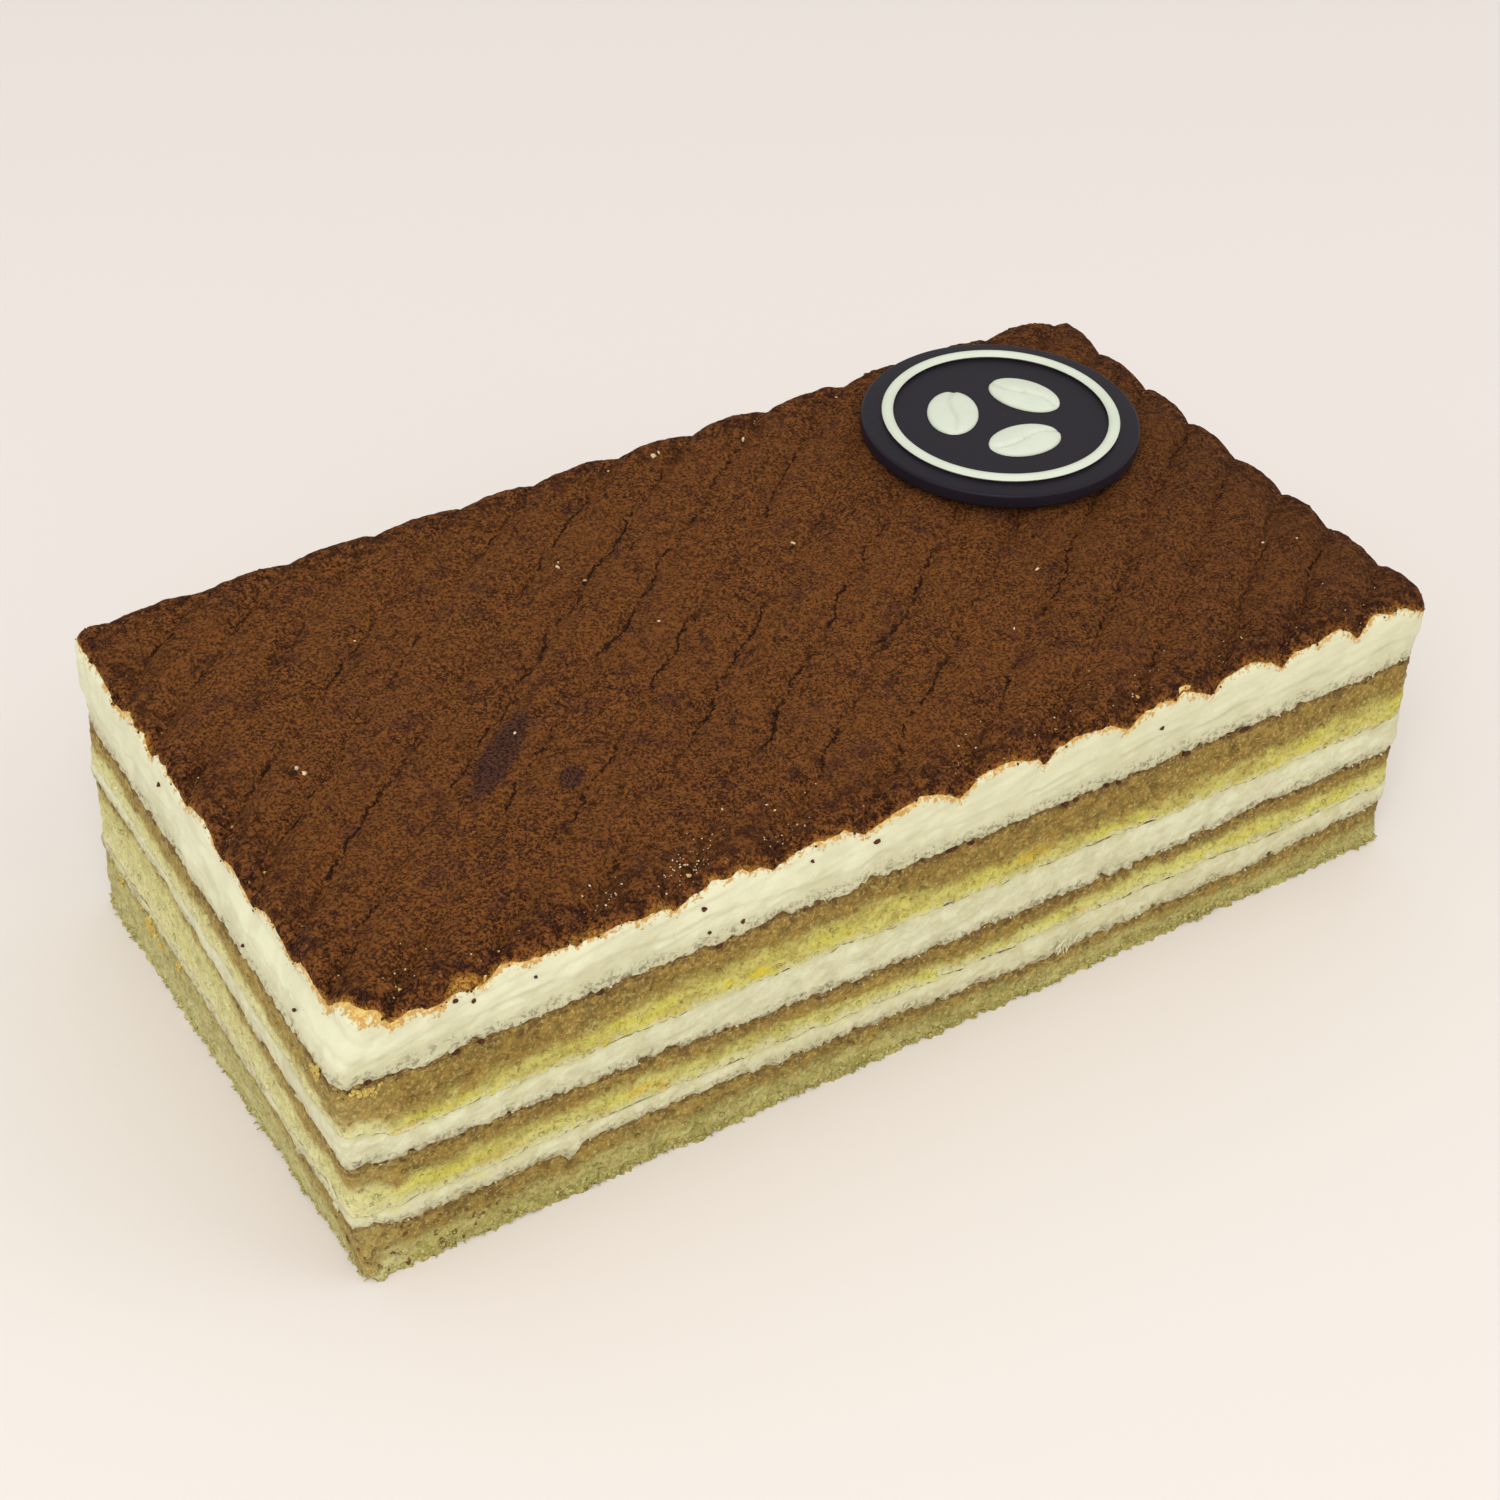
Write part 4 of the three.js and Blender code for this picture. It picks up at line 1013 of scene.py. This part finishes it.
PLAQUE_RADIUS, PLAQUE_THICKNESS, PLAQUE_ROUNDING = 29.8, 3.4, 0.7
PLAQUE_AT, PLAQUE_TURN = (77.0, 25.9), math.radians(24.0)
plaque_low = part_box("plaque")[0].z * 1000.0
disc = bmesh.new()
bmesh.ops.create_circle(disc, cap_ends=True, segments=180, radius=PLAQUE_RADIUS)
made = bmesh.ops.extrude_face_region(disc, geom=disc.faces[:])["geom"]
bmesh.ops.translate(disc, vec=(0, 0, PLAQUE_THICKNESS),
                    verts=[g for g in made if isinstance(g, bmesh.types.BMVert)])
rims = [e for e in disc.edges if abs(e.verts[0].co.z - e.verts[1].co.z) < 0.1]
bmesh.ops.bevel(disc, geom=rims, offset=PLAQUE_ROUNDING, segments=5, profile=0.5,
                affect="EDGES", material=-1)
for face in [f for f in disc.faces if len(f.verts) > 20]:
    for step in range(3):
        bmesh.ops.inset_region(disc, faces=[face], thickness=6.0)
bmesh.ops.translate(disc, vec=(*PLAQUE_AT, plaque_low), verts=disc.verts)
for v in disc.verts:
    v.co.z += 0.05 * rough(14.0, 30.0, v.co.x, v.co.y)


def plaque_finish():
    """Dark chocolate: near black with a violet cast, a soft sheen and faint cocoa dust."""
    f = Finish("dark chocolate")
    cloud = f.grain(16.0, 3.0)
    dust = f.cells(1.9).from_to(0.16, 0.08) * f.grain(9.0).from_to(0.5, 0.66)
    tone = f.blend(cloud, srgb(27, 22, 29), srgb(37, 31, 40)).overlaid((dust * 0.35, 92, 64, 50))
    return f.coat(tone, 0.4 + cloud * 0.16, f.relief(f.grain(5.0, 3.0), 0.05), shine=0.16)


finish_piece(disc, "chocolate_disc", plaque_finish(), "plaque", slot="dark_chocolate")

# --------------------
# Relief on the plaque: a ring and three coffee beans of ivory chocolate, cast
# in shallow moulds, each crowned and softly rounded, and set on the disc.
# --------------------

RELIEF_HEIGHT, RING_RADIUS, RING_WIDTH = 1.3, 24.2, 2.4
BEAN_LENGTH, BEAN_WIDTH, BEAN_OFFSET = 16.5, 11.0, 10.2
GROOVE_DEPTH, GROOVE_WIDTH, GROOVE_SWING = 0.6, 0.9, 0.9
relief_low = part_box("relief_ring")[0].z * 1000.0


def ivory_finish():
    """Ivory chocolate, faintly green-grey, waxy and slightly uneven."""
    f = Finish("ivory chocolate")
    cloud = f.grain(6.0, 3.0)
    tone = f.blend(cloud, srgb(206, 211, 190), srgb(222, 226, 208))
    return f.coat(tone, 0.45, f.relief(f.grain(1.6, 3.0), 0.12))


ivory = ivory_finish()
ring = bmesh.new()
bmesh.ops.create_circle(ring, cap_ends=False, segments=8, radius=1.0)
bmesh.ops.scale(ring, vec=(RING_WIDTH / 2, RELIEF_HEIGHT / 2, 1.0), verts=ring.verts)
bmesh.ops.rotate(ring, cent=(0, 0, 0), matrix=Matrix.Rotation(math.radians(90), 3, "X"), verts=ring.verts)
bmesh.ops.translate(ring, vec=(RING_RADIUS, 0, RELIEF_HEIGHT / 2), verts=ring.verts)
bmesh.ops.spin(ring, geom=ring.verts[:] + ring.edges[:], cent=(0, 0, 0), axis=(0, 0, 1),
               angle=math.tau, steps=120, use_merge=True)
bmesh.ops.remove_doubles(ring, verts=ring.verts, dist=1e-4)
bmesh.ops.translate(ring, vec=(*PLAQUE_AT, relief_low), verts=ring.verts)
finish_piece(ring, "ivory_ring", ivory, "relief_ring", slot="ivory_chocolate")

for number in range(3):
    bean = bmesh.new()
    bmesh.ops.create_uvsphere(bean, u_segments=48, v_segments=24, radius=1.0)
    for v in bean.verts:
        along, side, up = v.co
        wide = side * BEAN_WIDTH / 2
        high = max(up, 0.0) ** 0.75 * RELIEF_HEIGHT
        groove = wide - GROOVE_SWING * math.sin(math.pi * along)
        high -= GROOVE_DEPTH * math.exp(-(groove / (GROOVE_WIDTH * 0.5)) ** 2) * smooth(0.0, 0.4, high)
        v.co = (along * BEAN_LENGTH / 2, wide, high)
    turn = PLAQUE_TURN + number * math.tau / 3
    bmesh.ops.rotate(bean, cent=(0, 0, 0), matrix=Matrix.Rotation(math.pi / 2, 3, "Z"), verts=bean.verts)
    bmesh.ops.translate(bean, vec=(BEAN_OFFSET, 0, 0), verts=bean.verts)
    bmesh.ops.rotate(bean, cent=(0, 0, 0), matrix=Matrix.Rotation(turn, 3, "Z"), verts=bean.verts)
    bmesh.ops.translate(bean, vec=(*PLAQUE_AT, relief_low), verts=bean.verts)
    finish_piece(bean, f"ivory_bean_{number + 1}", ivory, f"relief_bean_{number + 1}", slot="ivory_chocolate")

# --------------------
# The studio: a plain pale floor under the cake, an even pale surround with three
# soft panel lights, and the camera, which looks down on the near corner.
# --------------------

floor_shape = bmesh.new()
bmesh.ops.create_grid(floor_shape, x_segments=1, y_segments=1, size=3.0)
floor_mesh = bpy.data.meshes.new("floor")
floor_shape.to_mesh(floor_mesh)
floor_shape.free()
floor = bpy.data.objects.new("floor", floor_mesh)
bpy.context.collection.objects.link(floor)
floor_mesh.materials.append(Finish("pale floor").coat(srgb(236, 226, 220), 0.8))

world = bpy.data.worlds.new("studio")
bpy.context.scene.world = world
world.use_nodes = True
backdrop = world.node_tree.nodes["Background"]
backdrop.inputs["Color"].default_value = (0.99, 1.0, 0.985, 1.0)
backdrop.inputs["Strength"].default_value = 0.75


def soft_light(name, place, size, power, colour=(1.0, 1.0, 1.0)):
    """A square panel light turned towards the cake."""
    data = bpy.data.lights.new(name, "AREA")
    data.energy, data.size, data.color = power, size, colour
    light = bpy.data.objects.new(name, data)
    light.location = place
    light.rotation_euler = (Vector((0, 0, 0.03)) - Vector(place)).to_track_quat("-Z", "Y").to_euler()
    bpy.context.collection.objects.link(light)


soft_light("key", (-0.75, -0.95, 1.35), 0.9, 13.0, (0.975, 1.0, 1.0))
soft_light("fill", (0.9, -0.9, 0.9), 1.0, 3.0)
soft_light("side", (-1.2, 0.15, 0.5), 0.8, 1.1)

camera_data = bpy.data.cameras.new("camera")
camera_data.lens, camera_data.sensor_width = 70.97, 36.0
camera_data.clip_start, camera_data.clip_end = 0.01, 20.0
camera = bpy.data.objects.new("camera", camera_data)
right = Vector((0.84279926, -0.53716503, 0.03381036))
down = Vector((-0.31781492, -0.54737358, -0.77419367))
ahead = Vector((0.43437667, 0.64174441, -0.63204511))
camera.rotation_euler = Matrix((right, -down, -ahead)).transposed().to_euler()
camera.location = (-0.26443, -0.38885, 0.41631)
bpy.context.collection.objects.link(camera)
bpy.context.scene.camera = camera
bpy.context.scene.view_settings.view_transform = "Standard"
